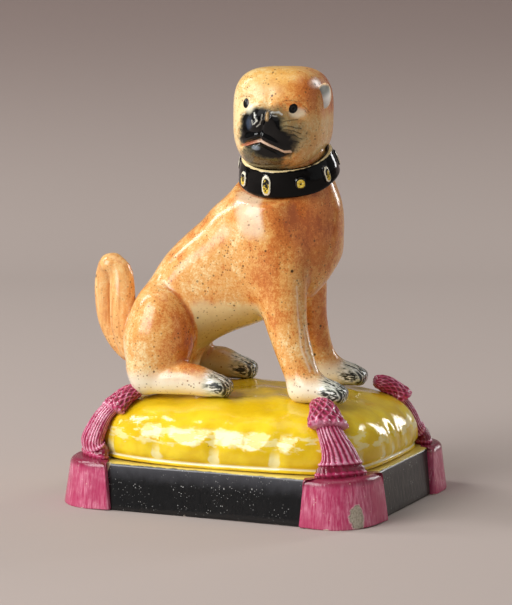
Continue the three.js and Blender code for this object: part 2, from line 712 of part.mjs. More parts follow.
function hindLegSurfaces(side) {
  const y = side * HINDLEG_SPREAD;
  const setBack = side > 0 ? LEFT_FEET_BACK : 0;
  const thigh = egg(
    new THREE.Vector3(THIGH_X - 0.8 * setBack, y * 0.8, THIGH_Z),
    new THREE.Vector3(THIGH_LENGTH, THIGH_WIDTH, THIGH_HEIGHT),
    16,
    10
  );
  const hock = limb(
    [
      [HEEL_X + 5.6, y * 0.86, THIGH_Z, HOCK_WIDTH * 1.3, HOCK_HEIGHT * 1.3],
      [HEEL_X + 4.4, y * 0.92, STANDING_LEVEL + 9.5, HOCK_WIDTH * 1.1, HOCK_HEIGHT * 1.05],
      [HEEL_X + 4.4, y * 0.98, STANDING_LEVEL + 2.5, HOCK_WIDTH * 0.9, HOCK_HEIGHT * 0.8],
    ],
    { slices: 10, stacks: 4, ends: 0.12 }
  );
  const toeX = HEEL_X + HIND_FOOT_LENGTH - setBack;
  const foot = limb(
    [
      [HEEL_X, y, STANDING_LEVEL + 2.8, HIND_FOOT_WIDTH * 0.84, HIND_FOOT_HEIGHT],
      [HEEL_X + HIND_FOOT_LENGTH * 0.3, y, STANDING_LEVEL + 3, HIND_FOOT_WIDTH * 0.94, HIND_FOOT_HEIGHT],
      [toeX - HIND_FOOT_LENGTH * 0.25, y, STANDING_LEVEL + 2.3, HIND_FOOT_WIDTH, HIND_FOOT_HEIGHT * 0.87],
      [toeX, y, STANDING_LEVEL + 1.5, HIND_FOOT_WIDTH * 0.9, HIND_FOOT_HEIGHT * 0.6],
    ],
    { slices: 12, stacks: 8, ends: 0.16, farEnd: 0.2 }
  );
  const tip = new THREE.Vector3(toeX + 0.4, y, STANDING_LEVEL + 1.7);
  return [thigh, hock, foot, ...toes(tip, HIND_FOOT_WIDTH, side)];
}

// Both strands are round, touch along the groove between them and share one broad round top
function tailSurfaces() {
  const half = TAIL_THICKNESS / 2;
  const rear = TAIL_REAR_X + half;
  const size = TAIL_THICKNESS;
  const climb = TAIL_TOP_HEIGHT - TAIL_ROOT_HEIGHT;
  const climbing = limb(
    [
      [rear + 9.6, -1.2, TAIL_ROOT_HEIGHT - 4, size, size],
      [rear + 4.4, -1.8, TAIL_ROOT_HEIGHT, size, size],
      [rear + 0.8, -2, TAIL_ROOT_HEIGHT + 0.27 * climb, size, size],
      [rear, -2.4, TAIL_ROOT_HEIGHT + 0.55 * climb, size, size],
      [rear + 0.6, -3, TAIL_ROOT_HEIGHT + 0.69 * climb, size, size],
      [rear + 1.8, -3.6, TAIL_ROOT_HEIGHT + 0.92 * climb, size, size],
    ],
    { slices: 12, stacks: 12, ends: 0.16 }
  );
  const falling = limb(
    [
      [rear + 3.4, -4.6, TAIL_ROOT_HEIGHT + 0.89 * climb, size, size],
      [rear + 5, -5, TAIL_ROOT_HEIGHT + 0.7 * climb, size, size],
      [rear + 6, -5.4, TAIL_ROOT_HEIGHT + 0.48 * climb, size, size],
      [rear + 6.7, -5.1, TAIL_ROOT_HEIGHT + 0.18 * climb, size, size],
      [rear + 9, -4.2, TAIL_ROOT_HEIGHT - 1, size * 0.86, size * 0.86],
    ],
    { slices: 12, stacks: 9, ends: 0.16 }
  );
  const top = egg(
    new THREE.Vector3(rear + 2.2, -4, TAIL_TOP_HEIGHT - TAIL_LOOP_WIDTH / 2),
    new THREE.Vector3(TAIL_LOOP_WIDTH, size * 1.05, TAIL_LOOP_WIDTH),
    12,
    8
  );
  return [climbing, falling, top];
}

// Assembly: each piece is cut clear of the one that carries it

const figure = new THREE.Group();
figure.add(dog);

const cushion = cushionSurface();
const cushionSeat = inDogFrame(grown(cushion, CLEARANCE));
const grow = (geometries) => geometries.map((geometry) => grown(geometry, CLEARANCE));

const trunk = trunkSurfaces();
const head = headSurface();
const forelegs = { left: forelegSurfaces(1), right: forelegSurfaces(-1) };
const hindLegs = { left: hindLegSurfaces(1), right: hindLegSurfaces(-1) };
const legClearance = grow([...forelegs.left, ...forelegs.right, ...hindLegs.left, ...hindLegs.right]);
const studs = Array.from({ length: STUDS }, (_, number) => studSurface(number));
const collarClearance = [collarSurface(CLEARANCE), ...grow(studs)];

figure.add(mesh('plinth', plinth(), COLOURS.black));
figure.add(mesh('cushion', solid(cushion), COLOURS.yellow));
for (const corner of CORNERS) {
  figure.add(mesh(`corner_block_${corner.place}`, solid(cornerBlock(corner)), COLOURS.puce));
  const tassel = cutBy(joined([tasselSkirt(corner), tasselKnot(corner)]), [
    grown(cushion, CLEARANCE),
    tasselFloor(corner),
    ...legClearance.map(inBaseFrame),
  ]);
  figure.add(mesh(`tassel_${corner.place}`, tassel, COLOURS.puce));
}

// Everything under the level at which a tassel's foot stands on its block
function tasselFloor({ signX, signY }) {
  const floor = new THREE.BoxGeometry(PLINTH_LENGTH, PLINTH_WIDTH, 2 * PLINTH_HEIGHT);
  floor.translate((signX * PLINTH_LENGTH) / 2, (signY * PLINTH_WIDTH) / 2, cushionFoot - PLINTH_HEIGHT);
  return outward(closed(floor));
}

dog.add(mesh('trunk', cutBy(joined(trunk), [cushionSeat, ...collarClearance, ...legClearance]), COLOURS.fawn));
dog.add(mesh('head', cutBy(solid(head), [...grow(trunk), collarRoom(), ...grow(studs)]), COLOURS.cream));
dog.add(mesh('collar', solid(collarSurface(0)), COLOURS.black));
studs.forEach((stud, number) => {
  const boss = cutBy(solid(stud), [collarSurface(CLEARANCE)]);
  dog.add(mesh(`collar_stud_${number + 1}`, boss, COLOURS.yellow));
});
for (const [place, side] of [['left', 1], ['right', -1]]) {
  const ear = cutBy(solid(earSurface(side)), grow([head]));
  dog.add(mesh(`ear_${place}`, ear, COLOURS.cream));
  dog.add(mesh(`foreleg_${place}`, cutBy(joined(forelegs[place]), [cushionSeat]), COLOURS.fawn));
  dog.add(mesh(`hind_leg_${place}`, cutBy(joined(hindLegs[place]), [cushionSeat]), COLOURS.fawn));
}
dog.add(mesh('tail', cutBy(joined(tailSurfaces()), [...grow(trunk), ...legClearance]), COLOURS.fawn));

export default figure;
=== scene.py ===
import math

import bpy
import numpy as np
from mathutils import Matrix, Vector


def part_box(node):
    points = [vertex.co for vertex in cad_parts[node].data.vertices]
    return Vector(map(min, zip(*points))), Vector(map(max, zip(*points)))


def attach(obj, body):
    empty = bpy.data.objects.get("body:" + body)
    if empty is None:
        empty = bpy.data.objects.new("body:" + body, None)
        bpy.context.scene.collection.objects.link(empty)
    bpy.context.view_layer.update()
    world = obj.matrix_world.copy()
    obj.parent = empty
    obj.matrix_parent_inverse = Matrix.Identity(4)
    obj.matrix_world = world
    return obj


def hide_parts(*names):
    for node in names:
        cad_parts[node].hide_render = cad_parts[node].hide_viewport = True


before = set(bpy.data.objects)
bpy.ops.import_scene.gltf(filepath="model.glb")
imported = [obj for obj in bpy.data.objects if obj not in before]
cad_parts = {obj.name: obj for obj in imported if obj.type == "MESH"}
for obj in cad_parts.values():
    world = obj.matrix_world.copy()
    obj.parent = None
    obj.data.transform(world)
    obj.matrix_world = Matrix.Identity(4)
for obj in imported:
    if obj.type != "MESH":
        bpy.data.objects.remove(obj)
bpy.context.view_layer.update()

import openvdb
from mathutils import Matrix, Vector


# Plinth
# The hollow frame that the cushion lies on, press-moulded in white earthenware. Its four panels
# are brushed with black enamel over a cream glaze, and the ledge above them is left bare cream.

TO_METRES = 0.001
PLINTH_LEAN = 1.8
PLINTH_EDGE = 0.7
PLINTH_WALL = 6.0
PLINTH_CORNER = 11.8
HOLLOW_CORNER = 16.0


def box_of(node):
    """Lowest and highest corner of a moulded node, in millimetres."""
    return np.array(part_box(node)) / TO_METRES


def unit(vectors):
    """The same vectors, each divided by its own length."""
    return vectors / np.linalg.norm(vectors, axis=-1, keepdims=True)


def fade(value, low, high):
    """Soft step from 0 at low to 1 at high: 3t^2 - 2t^3 of the share t of the way between them."""
    share = np.clip((value - low) / (high - low), 0, 1)
    return share * share * (3 - 2 * share)


def rounded(corners, radii, arc_steps, side_steps):
    """Closed line through corners, each rounded off: the arc's centre lies on the corner's bisector at
    radius / sin(half the corner's angle), and its points turn evenly from one side to the next."""
    corners = np.array(corners, float)
    radii = np.broadcast_to(radii, len(corners)).astype(float)
    before = unit(np.roll(corners, 1, 0) - corners)
    after = unit(np.roll(corners, -1, 0) - corners)
    half = 0.5 * np.arccos(np.clip((before * after).sum(1), -1, 1))
    centre = corners + unit(before + after) * (radii / np.sin(half))[:, None]
    start = corners + before * (radii / np.tan(half))[:, None] - centre
    end = corners + after * (radii / np.tan(half))[:, None] - centre
    turn = (math.pi - 2 * half)[:, None, None]
    share = np.linspace(0, 1, arc_steps + 1)[None, :, None]
    swing = np.sin((1 - share) * turn) * start[:, None] + np.sin(share * turn) * end[:, None]
    arcs = centre[:, None] + swing / np.sin(turn)
    along = np.linspace(0, 1, side_steps + 2)[None, 1:-1, None]
    sides = arcs[:, -1:] * (1 - along) + np.roll(arcs, -1, 0)[:, :1] * along
    return np.concatenate([arcs, sides], 1).reshape(-1, 2)


def stacked(outline, profile):
    """Rings of a moulded wall: at each (inset, height) of the profile the outline is drawn in by that
    inset along its own normals and lifted to that height."""
    ahead = np.roll(outline, -1, 0) - np.roll(outline, 1, 0)
    normal = unit(np.stack([ahead[:, 1], -ahead[:, 0]], -1))
    inset, height = np.array(profile, float).T
    plan = outline[None] - inset[:, None, None] * normal[None]
    return np.concatenate([plan, np.broadcast_to(height[:, None, None], plan.shape[:2] + (1,))], -1)


def wall_profile(height, lean, foot, top, rows):
    """(inset, height) from the foot to the top of a wall: a quarter circle at the foot, a straight
    side that leans in by lean, and a quarter circle over the top edge."""
    turn = np.linspace(0, math.pi / 2, 7)
    lower = np.stack([foot * (1 - np.sin(turn)), foot * (1 - np.cos(turn))], -1)
    upper = np.stack([top * (1 - np.cos(turn)), height - top * (1 - np.sin(turn))], -1)
    share = np.linspace(0, 1, rows + 2)[1:-1, None]
    profile = np.concatenate([lower, lower[-1] * (1 - share) + upper[0] * share, upper])
    profile[:, 0] += lean * profile[:, 1] / height
    return profile


def uneven(points, wavelength, depth):
    """The slow waves that a hand-finished surface keeps: each axis moves by depth x a sine of the
    other two, divided by the wavelength. The foot is rubbed flat, so nothing goes below it (z = 0)."""
    x, y, z = np.moveaxis(points * (2 * math.pi / wavelength), -1, 0)
    waves = [np.sin(0.9 * y + 0.5 * z + 1), np.sin(0.8 * z + 0.6 * x + 2), np.sin(0.7 * x + 0.6 * y + 3)]
    moved = points + depth * np.stack(waves, -1)
    moved[..., 2] = np.maximum(moved[..., 2], 0)
    return moved


def shell(name, rings, loop=False):
    """Closed skin through rings of points (rings x points x 3, millimetres). Neighbours are joined by
    quads, and the ends are closed by fans, or joined to each other where loop is true. The faces are
    turned outwards by the sign of the volume, which is the sum of a . (b x c) over the triangles."""
    rings = np.array(rings, float)
    count, around = rings.shape[:2]
    points = rings.reshape(-1, 3)
    ring = np.arange(count if loop else count - 1)[:, None]
    here = np.arange(around)[None, :]
    ahead = (here + 1) % around
    above = (ring + 1) % count
    corners = [ring * around + here, ring * around + ahead, above * around + ahead, above * around + here]
    quads = np.stack(np.broadcast_arrays(*corners), -1).reshape(-1, 4)
    triangles = np.zeros((0, 3), int)
    if not loop:
        first = np.arange(around)
        nxt = (first + 1) % around
        last = (count - 1) * around
        bottom = np.stack([nxt, first, np.full(around, len(points))], -1)
        top = np.stack([last + first, last + nxt, np.full(around, len(points) + 1)], -1)
        triangles = np.concatenate([bottom, top])
        points = np.concatenate([points, rings[:1].mean(1), rings[-1:].mean(1)])
    halves = np.concatenate([quads[:, [0, 1, 2]], quads[:, [0, 2, 3]], triangles])
    a, b, c = (points[halves[:, i]] for i in range(3))
    if (a * np.cross(b, c)).sum() < 0:
        quads, triangles = quads[:, ::-1], triangles[:, ::-1]
    return skin(name, points, quads.tolist() + triangles.tolist())


def skin(name, points, faces):
    """Object with its place in its mesh: points in millimetres are written in metres."""
    mesh = bpy.data.meshes.new(name)
    mesh.from_pydata((points * TO_METRES).tolist(), [], faces)
    mesh.polygons.foreach_set("use_smooth", np.ones(len(mesh.polygons), bool))
    mesh.update()
    piece = bpy.data.objects.new(name, mesh)
    bpy.context.scene.collection.objects.link(piece)
    return piece


def mark(piece, **fields):
    """Writes numbers for each point of a piece, under a name that its glaze can read. The two points
    that close a shell's ends come last and take the last number."""
    for name, values in fields.items():
        values = np.asarray(values, np.float32).ravel()
        values = np.pad(values, (0, len(piece.data.vertices) - len(values)), "edge")
        field = piece.data.attributes.new(name, "FLOAT", "POINT")
        field.data.foreach_set("value", values)


def fire(piece, glaze, slot, *nodes):
    """Gives a finished piece its glaze, fixes it to the figure and hides the moulded nodes that it stands
    for.
    """
    piece.data.materials.append(glaze.material)
    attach(piece, "root")
    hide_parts(*nodes)


def linear(colour):
    """Colour as it looks on a screen (0 to 255), as the linear light that a shader takes."""
    screen = np.array(colour) / 255
    light = np.where(screen <= 0.04045, screen / 12.92, ((screen + 0.055) / 1.055) ** 2.4)
    return tuple(light) + (1.0,)


def operator(operation, turned=False):
    """A sum that a Paint can stand in: one math node, with its two inputs turned round if asked."""

    def apply(paint, other=0):
        first, second = (other, paint) if turned else (paint, other)
        return paint.glaze.node("ShaderNodeMath", {"operation": operation}, {0: first, 1: second})

    return apply


class Paint:
    """A socket of a glaze's shader that can be written in sums."""

    def __init__(self, glaze, socket):
        self.glaze = glaze
        self.socket = socket

    __add__ = __radd__ = operator("ADD")
    __sub__ = operator("SUBTRACT")
    __rsub__ = operator("SUBTRACT", turned=True)
    __mul__ = __rmul__ = operator("MULTIPLY")
    __truediv__ = operator("DIVIDE")
    __pow__ = operator("POWER")
    __mod__ = operator("FLOORED_MODULO")
    __abs__ = operator("ABSOLUTE")
    least = operator("MINIMUM")
    most = operator("MAXIMUM")

    def fade(self, low, high):
        """Soft step from 0 at low to 1 at high."""
        inputs = {"Value": self, "From Min": low, "From Max": high}
        if low > high:
            inputs = {"Value": self, "From Min": high, "From Max": low, "To Min": 1.0, "To Max": 0.0}
        return self.glaze.node("ShaderNodeMapRange", {"interpolation_type": "SMOOTHSTEP"}, inputs)

    def mix(self, bare, painted):
        """Colour bare where this is 0, painted where it is 1. Each is a colour (0 to 255) or a Paint."""
        bare, painted = (side if isinstance(side, Paint) else linear(side) for side in (bare, painted))
        inputs = {"Factor": self, 6: bare, 7: painted}
        return self.glaze.node("ShaderNodeMix", {"data_type": "RGBA"}, inputs, 2)


class Glaze:
    """A fired surface: one Principled shader whose colour, roughness and relief are worked out in
    millimetres at a place on the figure, turned and moved by to_local."""

    def __init__(self, name, to_local=Matrix(), **values):
        self.material = bpy.data.materials.new(name)
        self.material.use_nodes = True
        self.tree = self.material.node_tree
        self.tree.nodes.clear()
        self.shader = self.tree.nodes.new("ShaderNodeBsdfPrincipled")
        output = self.tree.nodes.new("ShaderNodeOutputMaterial")
        self.tree.links.new(self.shader.outputs[0], output.inputs[0])
        self.paint(**values)
        mapping = {
            "Vector": self.node("ShaderNodeTexCoord", {}, {}, "Object"),
            "Scale": (1 / TO_METRES,) * 3,
            "Rotation": to_local.to_euler(),
            "Location": to_local.translation,
        }
        self.at = self.node("ShaderNodeMapping", {"vector_type": "POINT"}, mapping)
        self.across, self.along, self.up = self.parts(self.at)

    def node(self, kind, settings, inputs, output=0):
        """One shader node: its settings are set first, then each input's value or link."""
        made = self.tree.nodes.new(kind)
        for name, value in settings.items():
            setattr(made, name, value)
        for name, value in inputs.items():
            self.feed(made.inputs[name], value)
        return Paint(self, made.outputs[output])

    def feed(self, socket, value):
        if isinstance(value, Paint):
            self.tree.links.new(value.socket, socket)
        else:
            socket.default_value = value

    def paint(self, **values):
        """Feeds the shader's own sockets, such as Base_Color."""
        for name, value in values.items():
            self.feed(self.shader.inputs[name.replace("_", " ")], value)

    def coat(self, cover, colour):
        """Brushes a colour on over the coats before it, as thick as cover (0 to 1)."""
        self.colour = cover.mix(self.colour, colour)
        self.paint(Base_Color=self.colour)

    def parts(self, vector):
        """The three numbers of a vector."""
        split = self.node("ShaderNodeSeparateXYZ", {}, {0: vector})
        return [Paint(self, socket) for socket in split.socket.node.outputs]

    def marked(self, name):
        return self.node("ShaderNodeAttribute", {"attribute_name": name}, {}, "Fac")

    def stretched(self, by):
        """The place, its three numbers multiplied."""
        return self.node("ShaderNodeVectorMath", {"operation": "MULTIPLY"}, {0: self.at, 1: by})

    def cloud(self, size, detail=3.0, rough=0.55, stretch=None):
        """Cloudy noise from 0 to 1, whose blots are about size millimetres, over the stretch if any."""
        vector = self.stretched(stretch) if stretch else self.at
        inputs = {"Vector": vector, "Scale": 1 / size, "Detail": detail, "Roughness": rough}
        return self.node("ShaderNodeTexNoise", {}, inputs)

    def specks(self, spacing, radius, share):
        """Round specks: 1 inside the radius round a share of the cells' centres."""
        cells = self.node("ShaderNodeTexVoronoi", {}, {"Vector": self.at, "Scale": 1 / spacing}, "Distance")
        pick, size, _ = self.parts(Paint(self, cells.socket.node.outputs["Color"]))
        radius = radius / spacing
        inside = (radius * (0.4 + 0.6 * size) - cells).fade(-0.05 * radius, 0.35 * radius)
        return inside * pick.fade(share + 0.001, share)

    def relief(self, height, depth):
        """Raises the surface by a height that runs from 0 to 1, depth millimetres in all."""
        inputs = {"Height": height, "Distance": depth * TO_METRES, "Strength": 1.0}
        self.paint(Normal=self.node("ShaderNodeBump", {}, inputs))


CREAM = (238, 226, 188)
BLACK = (17, 17, 18)
SHORT_PANEL = (42.5, 43.5)
LEDGE = (-0.1, 0.15)

half_length, half_width, plinth_top = box_of("plinth")[1]


def rectangle(half_x, half_y, radius):
    """Plan of a rounded rectangle, anticlockwise."""
    corners = [(half_x, half_y), (-half_x, half_y), (-half_x, -half_y), (half_x, -half_y)]
    return rounded(corners, radius, arc_steps=16, side_steps=60)


plinth_wall = wall_profile(plinth_top, PLINTH_LEAN, PLINTH_EDGE, PLINTH_EDGE, rows=8)
outer_rings = stacked(rectangle(half_length, half_width, PLINTH_CORNER), plinth_wall)
hollow_x = half_length - PLINTH_LEAN - PLINTH_WALL
hollow_y = half_width - PLINTH_LEAN - PLINTH_WALL
hollow_wall = wall_profile(plinth_top, 0, PLINTH_EDGE, PLINTH_EDGE, rows=4) * (-1, 1)
inner_rings = stacked(rectangle(hollow_x, hollow_y, HOLLOW_CORNER), hollow_wall)
rings = uneven(np.concatenate([outer_rings, inner_rings[::-1]]), wavelength=47, depth=0.12)
plinth = shell("plinth_frame", rings, loop=True)

black = Glaze("black_enamel", IOR=1.5)
brushed = black.cloud(0.9, 4.0, stretch=(1.6, 1.6, 0.09))
cloudy = black.cloud(9.0)
edge = black.cloud(2.2)
short_panel = abs(black.across).fade(*SHORT_PANEL)
ledge = (black.up - plinth_top + 0.5 * edge).fade(*LEDGE)
bare_corner = (black.up * 0.28 - black.across - 32.6 + edge).fade(0.0, 0.35) * black.along.fade(-34, -35)
chipped = (1.1 * edge - 0.33 * black.up).fade(0.58, 0.66) * (1 - black.up.fade(0.5, 1.6))
pits = black.specks(0.6, 0.17, 0.5) * cloudy.fade(0.44, 0.6)
sheen = (black.up + 2.5 * (edge - 0.5)).fade(7.0, 12.6) * (1 - short_panel)
black.colour = BLACK
black.coat(short_panel, brushed.fade(0.3, 0.75).mix((30, 28, 26), (78, 72, 66)))
black.coat(0.5 * sheen, (96, 96, 102))
black.coat(pits, (206, 206, 202))
black.coat(ledge, (232, 208, 104))
black.coat(bare_corner, CREAM)
black.coat(chipped, (205, 195, 178))
black.paint(Roughness=0.1 + 0.3 * short_panel + 0.25 * chipped + 0.1 * brushed)
black.relief(0.5 * brushed + 0.5 * cloudy - 0.8 * chipped - pits, 0.12)
fire(plinth, black, "black_enamel", "plinth")


# Corner blocks
# Four rounded pilasters that stand proud of the panels at the corners. Each was moulded with the
# frame, softened along its top by a wet finger and brushed up and down with puce enamel.

BLOCK_RADIUS = 13.1
BLOCK_INNER_RADIUS = 1.3
BLOCK_CUT_RADIUS = 0.6
BLOCK_FOOT_EDGE = 0.5
BLOCK_TOP_EDGE = 1.5
BLOCK_CUT = 6.0
BLOCK_OVERLAP = 0.3
BLOCK_STANDS_PROUD = 0.3
CORNERS = {"front_right": (1, -1), "front_left": (-1, -1), "back_right": (1, 1), "back_left": (-1, 1)}
PUCE = (182, 50, 95)
PUCE_DEEP = (124, 24, 50)
PUCE_THIN = (222, 136, 162)
CHIP_PLACE = (43.6, -33.9, 2.4)


def corner_block(name, signs):
    """One pilaster: its plan has one great arc at the figure's corner and is cut off slantwise
    inside, and a wall profile carries that plan up."""
    corners = np.abs(box_of(name))
    outer = corners.max(0)
    inner = corners.min(0) - BLOCK_OVERLAP
    plan = [
        (outer[0], outer[1]),
        (inner[0], outer[1]),
        (inner[0], outer[1] - BLOCK_CUT),
        (outer[0] - BLOCK_CUT, inner[1]),
        (outer[0], inner[1]),
    ]
    radii = [BLOCK_RADIUS, BLOCK_INNER_RADIUS, BLOCK_CUT_RADIUS, BLOCK_CUT_RADIUS, BLOCK_INNER_RADIUS]
    height = outer[2] + BLOCK_STANDS_PROUD
    profile = wall_profile(height, PLINTH_LEAN, BLOCK_FOOT_EDGE, BLOCK_TOP_EDGE, rows=10)
    profile[:, 0] = np.minimum(profile[:, 0], PLINTH_LEAN + BLOCK_TOP_EDGE)
    rings = stacked(rounded(plan, radii, arc_steps=18, side_steps=16), profile) * (*signs, 1)
    return shell(name + "_glazed", uneven(rings, wavelength=19, depth=0.16))


puce = Glaze("puce_enamel", IOR=1.55)
strokes = puce.cloud(1.0, 4.0, 0.6, (1.9, 1.9, 0.13))
cloudy = puce.cloud(6.0)
grain = puce.cloud(0.5, 2.0)
flecks = puce.specks(0.8, 0.2, 0.5) * cloudy.fade(0.42, 0.6) * grain.fade(0.45, 0.55)
foot_wear = (1.1 * puce.cloud(1.6) - 0.4 * puce.up).fade(0.5, 0.62)
ends = {0: puce.stretched((1, 1, 0.72)), 1: CHIP_PLACE}
from_chip = puce.node("ShaderNodeVectorMath", {"operation": "DISTANCE"}, ends, "Value")
ragged = from_chip + 2.2 * puce.cloud(1.9, 2.0) - 0.6
chip = ragged.fade(2.95, 2.8)
puce.colour = strokes.fade(0.3, 0.72).mix(PUCE, PUCE_THIN)
puce.coat(0.75 * cloudy.fade(0.62, 0.4), PUCE)
# Painted shade: a darker band along the blocks' tops, under the tassels
puce.coat(0.8 * puce.up.fade(plinth_top - 2.2, plinth_top - 0.3), PUCE_DEEP)
puce.coat(0.8 * flecks, CREAM)
puce.coat(foot_wear, (214, 190, 176))
puce.coat(0.7 * ragged.fade(3.3, 3.0), (230, 200, 196))
puce.coat(chip, grain.fade(0.3, 0.7).mix((150, 140, 122), (196, 186, 168)))
puce.paint(Roughness=0.1 + 0.55 * chip + 0.12 * strokes)
puce.relief(0.45 * strokes + 0.3 * cloudy - 1.2 * chip + 0.25 * grain * chip, 0.22)

for corner, signs in CORNERS.items():
    fire(corner_block("corner_block_" + corner, signs), puce, "puce_enamel", "corner_block_" + corner)


# Cushion
# A fat pillow thrown over the frame, moulded in one with it and glazed yellow. Painted reflections
# lie pale on the tucks round its foot and in a band along its middle, and the glaze pooled darker
# between the tucks and on the crown.

CUSHION_INSET = 1.2
CUSHION_CROWN = 18.0
CUSHION_SQUARENESS = 3.6
CUSHION_FULLNESS = 3.4
CUSHION_WALL = 5.5
CUSHION_SINK = 0.15
PUFF_WIDTH = 16.9
YELLOW = (248, 216, 40)
YELLOW_DEEP = (230, 190, 20)
REFLECTED_YELLOW = (250, 240, 176)

cushion_foot = plinth_top - CUSHION_SINK
cushion_x = half_length - PLINTH_LEAN - CUSHION_INSET
cushion_y = half_width - PLINTH_LEAN - CUSHION_INSET


def full_turn(count):
    """Angles spread evenly round a circle."""
    return np.linspace(0, 2 * math.pi, count, endpoint=False)


def squared_oval(angle, half_x, half_y, power):
    """Distance from the centre to |x/a|^p + |y/b|^p = 1, in the direction of an angle."""
    shares = np.abs(np.cos(angle)) / half_x, np.abs(np.sin(angle)) / half_y
    return sum(share ** power for share in shares) ** (-1 / power)


def tucks(x, y, short):
    """How full the pillow is at a place on its side, from -1 in a tuck to 1 on a puff. Tucks of 5 mm
    part the puffs along the long sides, and puffs are about 7 mm wide along the short ones."""
    in_puff = (x + 23.6) % PUFF_WIDTH - PUFF_WIDTH / 2
    long_side = 1 - 2 * np.exp(-(in_puff / 2.6) ** 2) * (1 + 0.3 * np.sin(x))
    short_side = 0.6 * np.cos(2 * math.pi * (y + 1.5) / 7.3 + 1.5 * np.sin(y / 6)) + 0.3 * np.sin(0.9 * y)
    return long_side * (1 - short) + short_side * short


def dome(climb, angle, wall):
    """Share h of the dome's height at a climb, and its reach there from the centre, which is the plan
    times (1 - h^p)^(1/p): a squared oval upright too. A wall draws the plan in."""
    rise = np.sin(climb * math.pi / 2)[:, None]
    plan = squared_oval(angle, cushion_x - wall, cushion_y - wall, CUSHION_SQUARENESS)
    return rise, plan[None] * (1 - rise ** CUSHION_FULLNESS) ** (1 / CUSHION_FULLNESS)


def cushion_rings():
    """Outer face from the crown down to the foot roll, then under the rim and up inside, with how
    much painted reflection each point takes, most in the tucks, and how high the point is above the foot."""
    angle = full_turn(560)
    angle = angle + 0.12 * np.sin(4 * angle)
    rise, reach = dome(np.linspace(0.995, 0.0, 96) ** 0.9, angle, 0.0)
    x = reach * np.cos(angle)
    y = reach * np.sin(angle)
    side = np.broadcast_to(rise * CUSHION_CROWN + 0.45 * (1 - rise), x.shape)
    short = fade(np.abs(x) / cushion_x - np.abs(y) / cushion_y, -0.1, 0.1)
    lower = fade(side, 1.2, 3.0) * (1 - fade(side, 5.5, 12 + 5 * short)) * tucks(x, y, short)
    wave = np.cos(2 * math.pi * (x * (1 - short) + y * short) / 9.3 + 1)
    upper = fade(side, 6, 9) * (1 - fade(side, 11, 15)) * wave
    roll = 0.95 * np.sqrt(np.clip(1 - ((side - 0.75) / 0.62) ** 2, 0, 1))
    seam = -1.5 * np.exp(-((side - 0.6) / 1.5) ** 2)
    swell = 1 + (0.34 * lower + 0.22 * upper + roll + seam) / reach
    dents = 0.28 * np.sin(0.27 * x + 0.21 * y + 1) + 0.2 * np.sin(0.19 * x - 0.37 * y) - 0.3
    dents = fade(side, 12, 17) * (dents + 0.1 * np.sin(0.7 * x + 0.5 * y))
    outside = np.stack([x * swell, y * swell, cushion_foot + side + dents], -1)
    # Share of painted reflection at each point, greatest in the tucks round the foot
    thin = np.clip(0.5 - 0.9 * lower - 0.5 * upper, 0, 1) * fade(side, 1.0, 2.0)
    rise, reach = dome(np.linspace(0.0, 0.99, 24), angle, CUSHION_WALL)
    height = np.broadcast_to(cushion_foot + rise * (CUSHION_CROWN - CUSHION_WALL), reach.shape)
    inside = np.stack([reach * np.cos(angle), reach * np.sin(angle), height], -1)
    hidden = np.zeros(reach.shape)
    rings = np.concatenate([outside, inside])
    return rings, np.concatenate([thin, hidden + 1]), np.concatenate([side, hidden])


rings, painted_reflection, above_foot = cushion_rings()
cushion = shell("cushion_glazed", uneven(rings, wavelength=33, depth=0.14))
mark(cushion, thin=painted_reflection, rise=above_foot)

yellow = Glaze("yellow_glaze", IOR=1.6)
rise = yellow.marked("rise")
cloudy = yellow.cloud(7.0)
blot = yellow.cloud(3.0, 2.0)
shaken = blot - 0.5
brushed = yellow.cloud(2.2, 3.0, stretch=(0.35, 0.6, 1.4))
# Painted reflections of the softbox: pale bars in the tucks near the foot and a broken band along the
# middle
reflection_amount = yellow.marked("thin") + 0.7 * shaken + 0.4 * (brushed - 0.5)
tuck_reflection = (reflection_amount - 0.05 * rise).fade(0.5, 0.75) * rise.fade(7.0, 3.5) * rise.fade(0.9, 1.8)
band = yellow.cloud(1.0, 4.0, 0.6, (0.11, 0.16, 0.42)) + 0.12 * shaken
band_reflection = (rise + 3.0 * shaken).fade(5.8, 6.6) * (rise + 2.0 * shaken).fade(11.5, 10.0)
band_reflection = band_reflection * band.fade(0.5, 0.56)
seam_line = rise.fade(1.15, 1.35) * rise.fade(2.1, 1.6)
foot_edge = rise.fade(0.55, 0.25)
pooled_crown = rise.fade(13.0, 17.0) * cloudy.fade(0.4, 0.62)
dots = yellow.specks(2.6, 0.17, 0.35)
yellow.colour = cloudy.fade(0.35, 0.7).mix(YELLOW_DEEP, YELLOW)
yellow.coat(0.85 * tuck_reflection.most(0.8 * band_reflection), REFLECTED_YELLOW)
yellow.coat(0.9 * seam_line, (252, 246, 208))
yellow.coat(0.8 * foot_edge, CREAM)
yellow.coat(0.5 * pooled_crown, YELLOW_DEEP)
yellow.coat(0.75 * dots, (52, 40, 14))
yellow.paint(Roughness=0.08 + 0.1 * blot)
yellow.relief(0.6 * yellow.cloud(2.6, 2.0, 0.4) + 0.25 * yellow.cloud(0.9, 1.0) - 0.2 * dots, 0.16)
fire(cushion, yellow, "yellow_glaze", "cushion")


# Tassels
# Four cords' ends laid down the pillow's corners: a netted knot over a pleated skirt that widens
# to a hem on its block. They were sprigged on, tooled while soft and washed over with puce.

TASSEL_INSET = 8.1
TASSEL_CORNER = 1.6
SKIRT_PLEATS = 11
# How each hangs: its skirt's and its knot's slip up the corner, how far it lies aside, how much one
# side of the knot droops and how far the pleats swing
TASSEL_LAY = {
    "front_right": (0.0, 0.5, -1.7, 0.14, 0.5),
    "front_left": (-0.9, 0.9, 0.6, -0.1, -0.35),
    "back_right": (1.0, 1.0, 0.4, 0.1, -0.35),
    "back_left": (0.0, 0.4, -0.5, 0.1, -0.35),
}


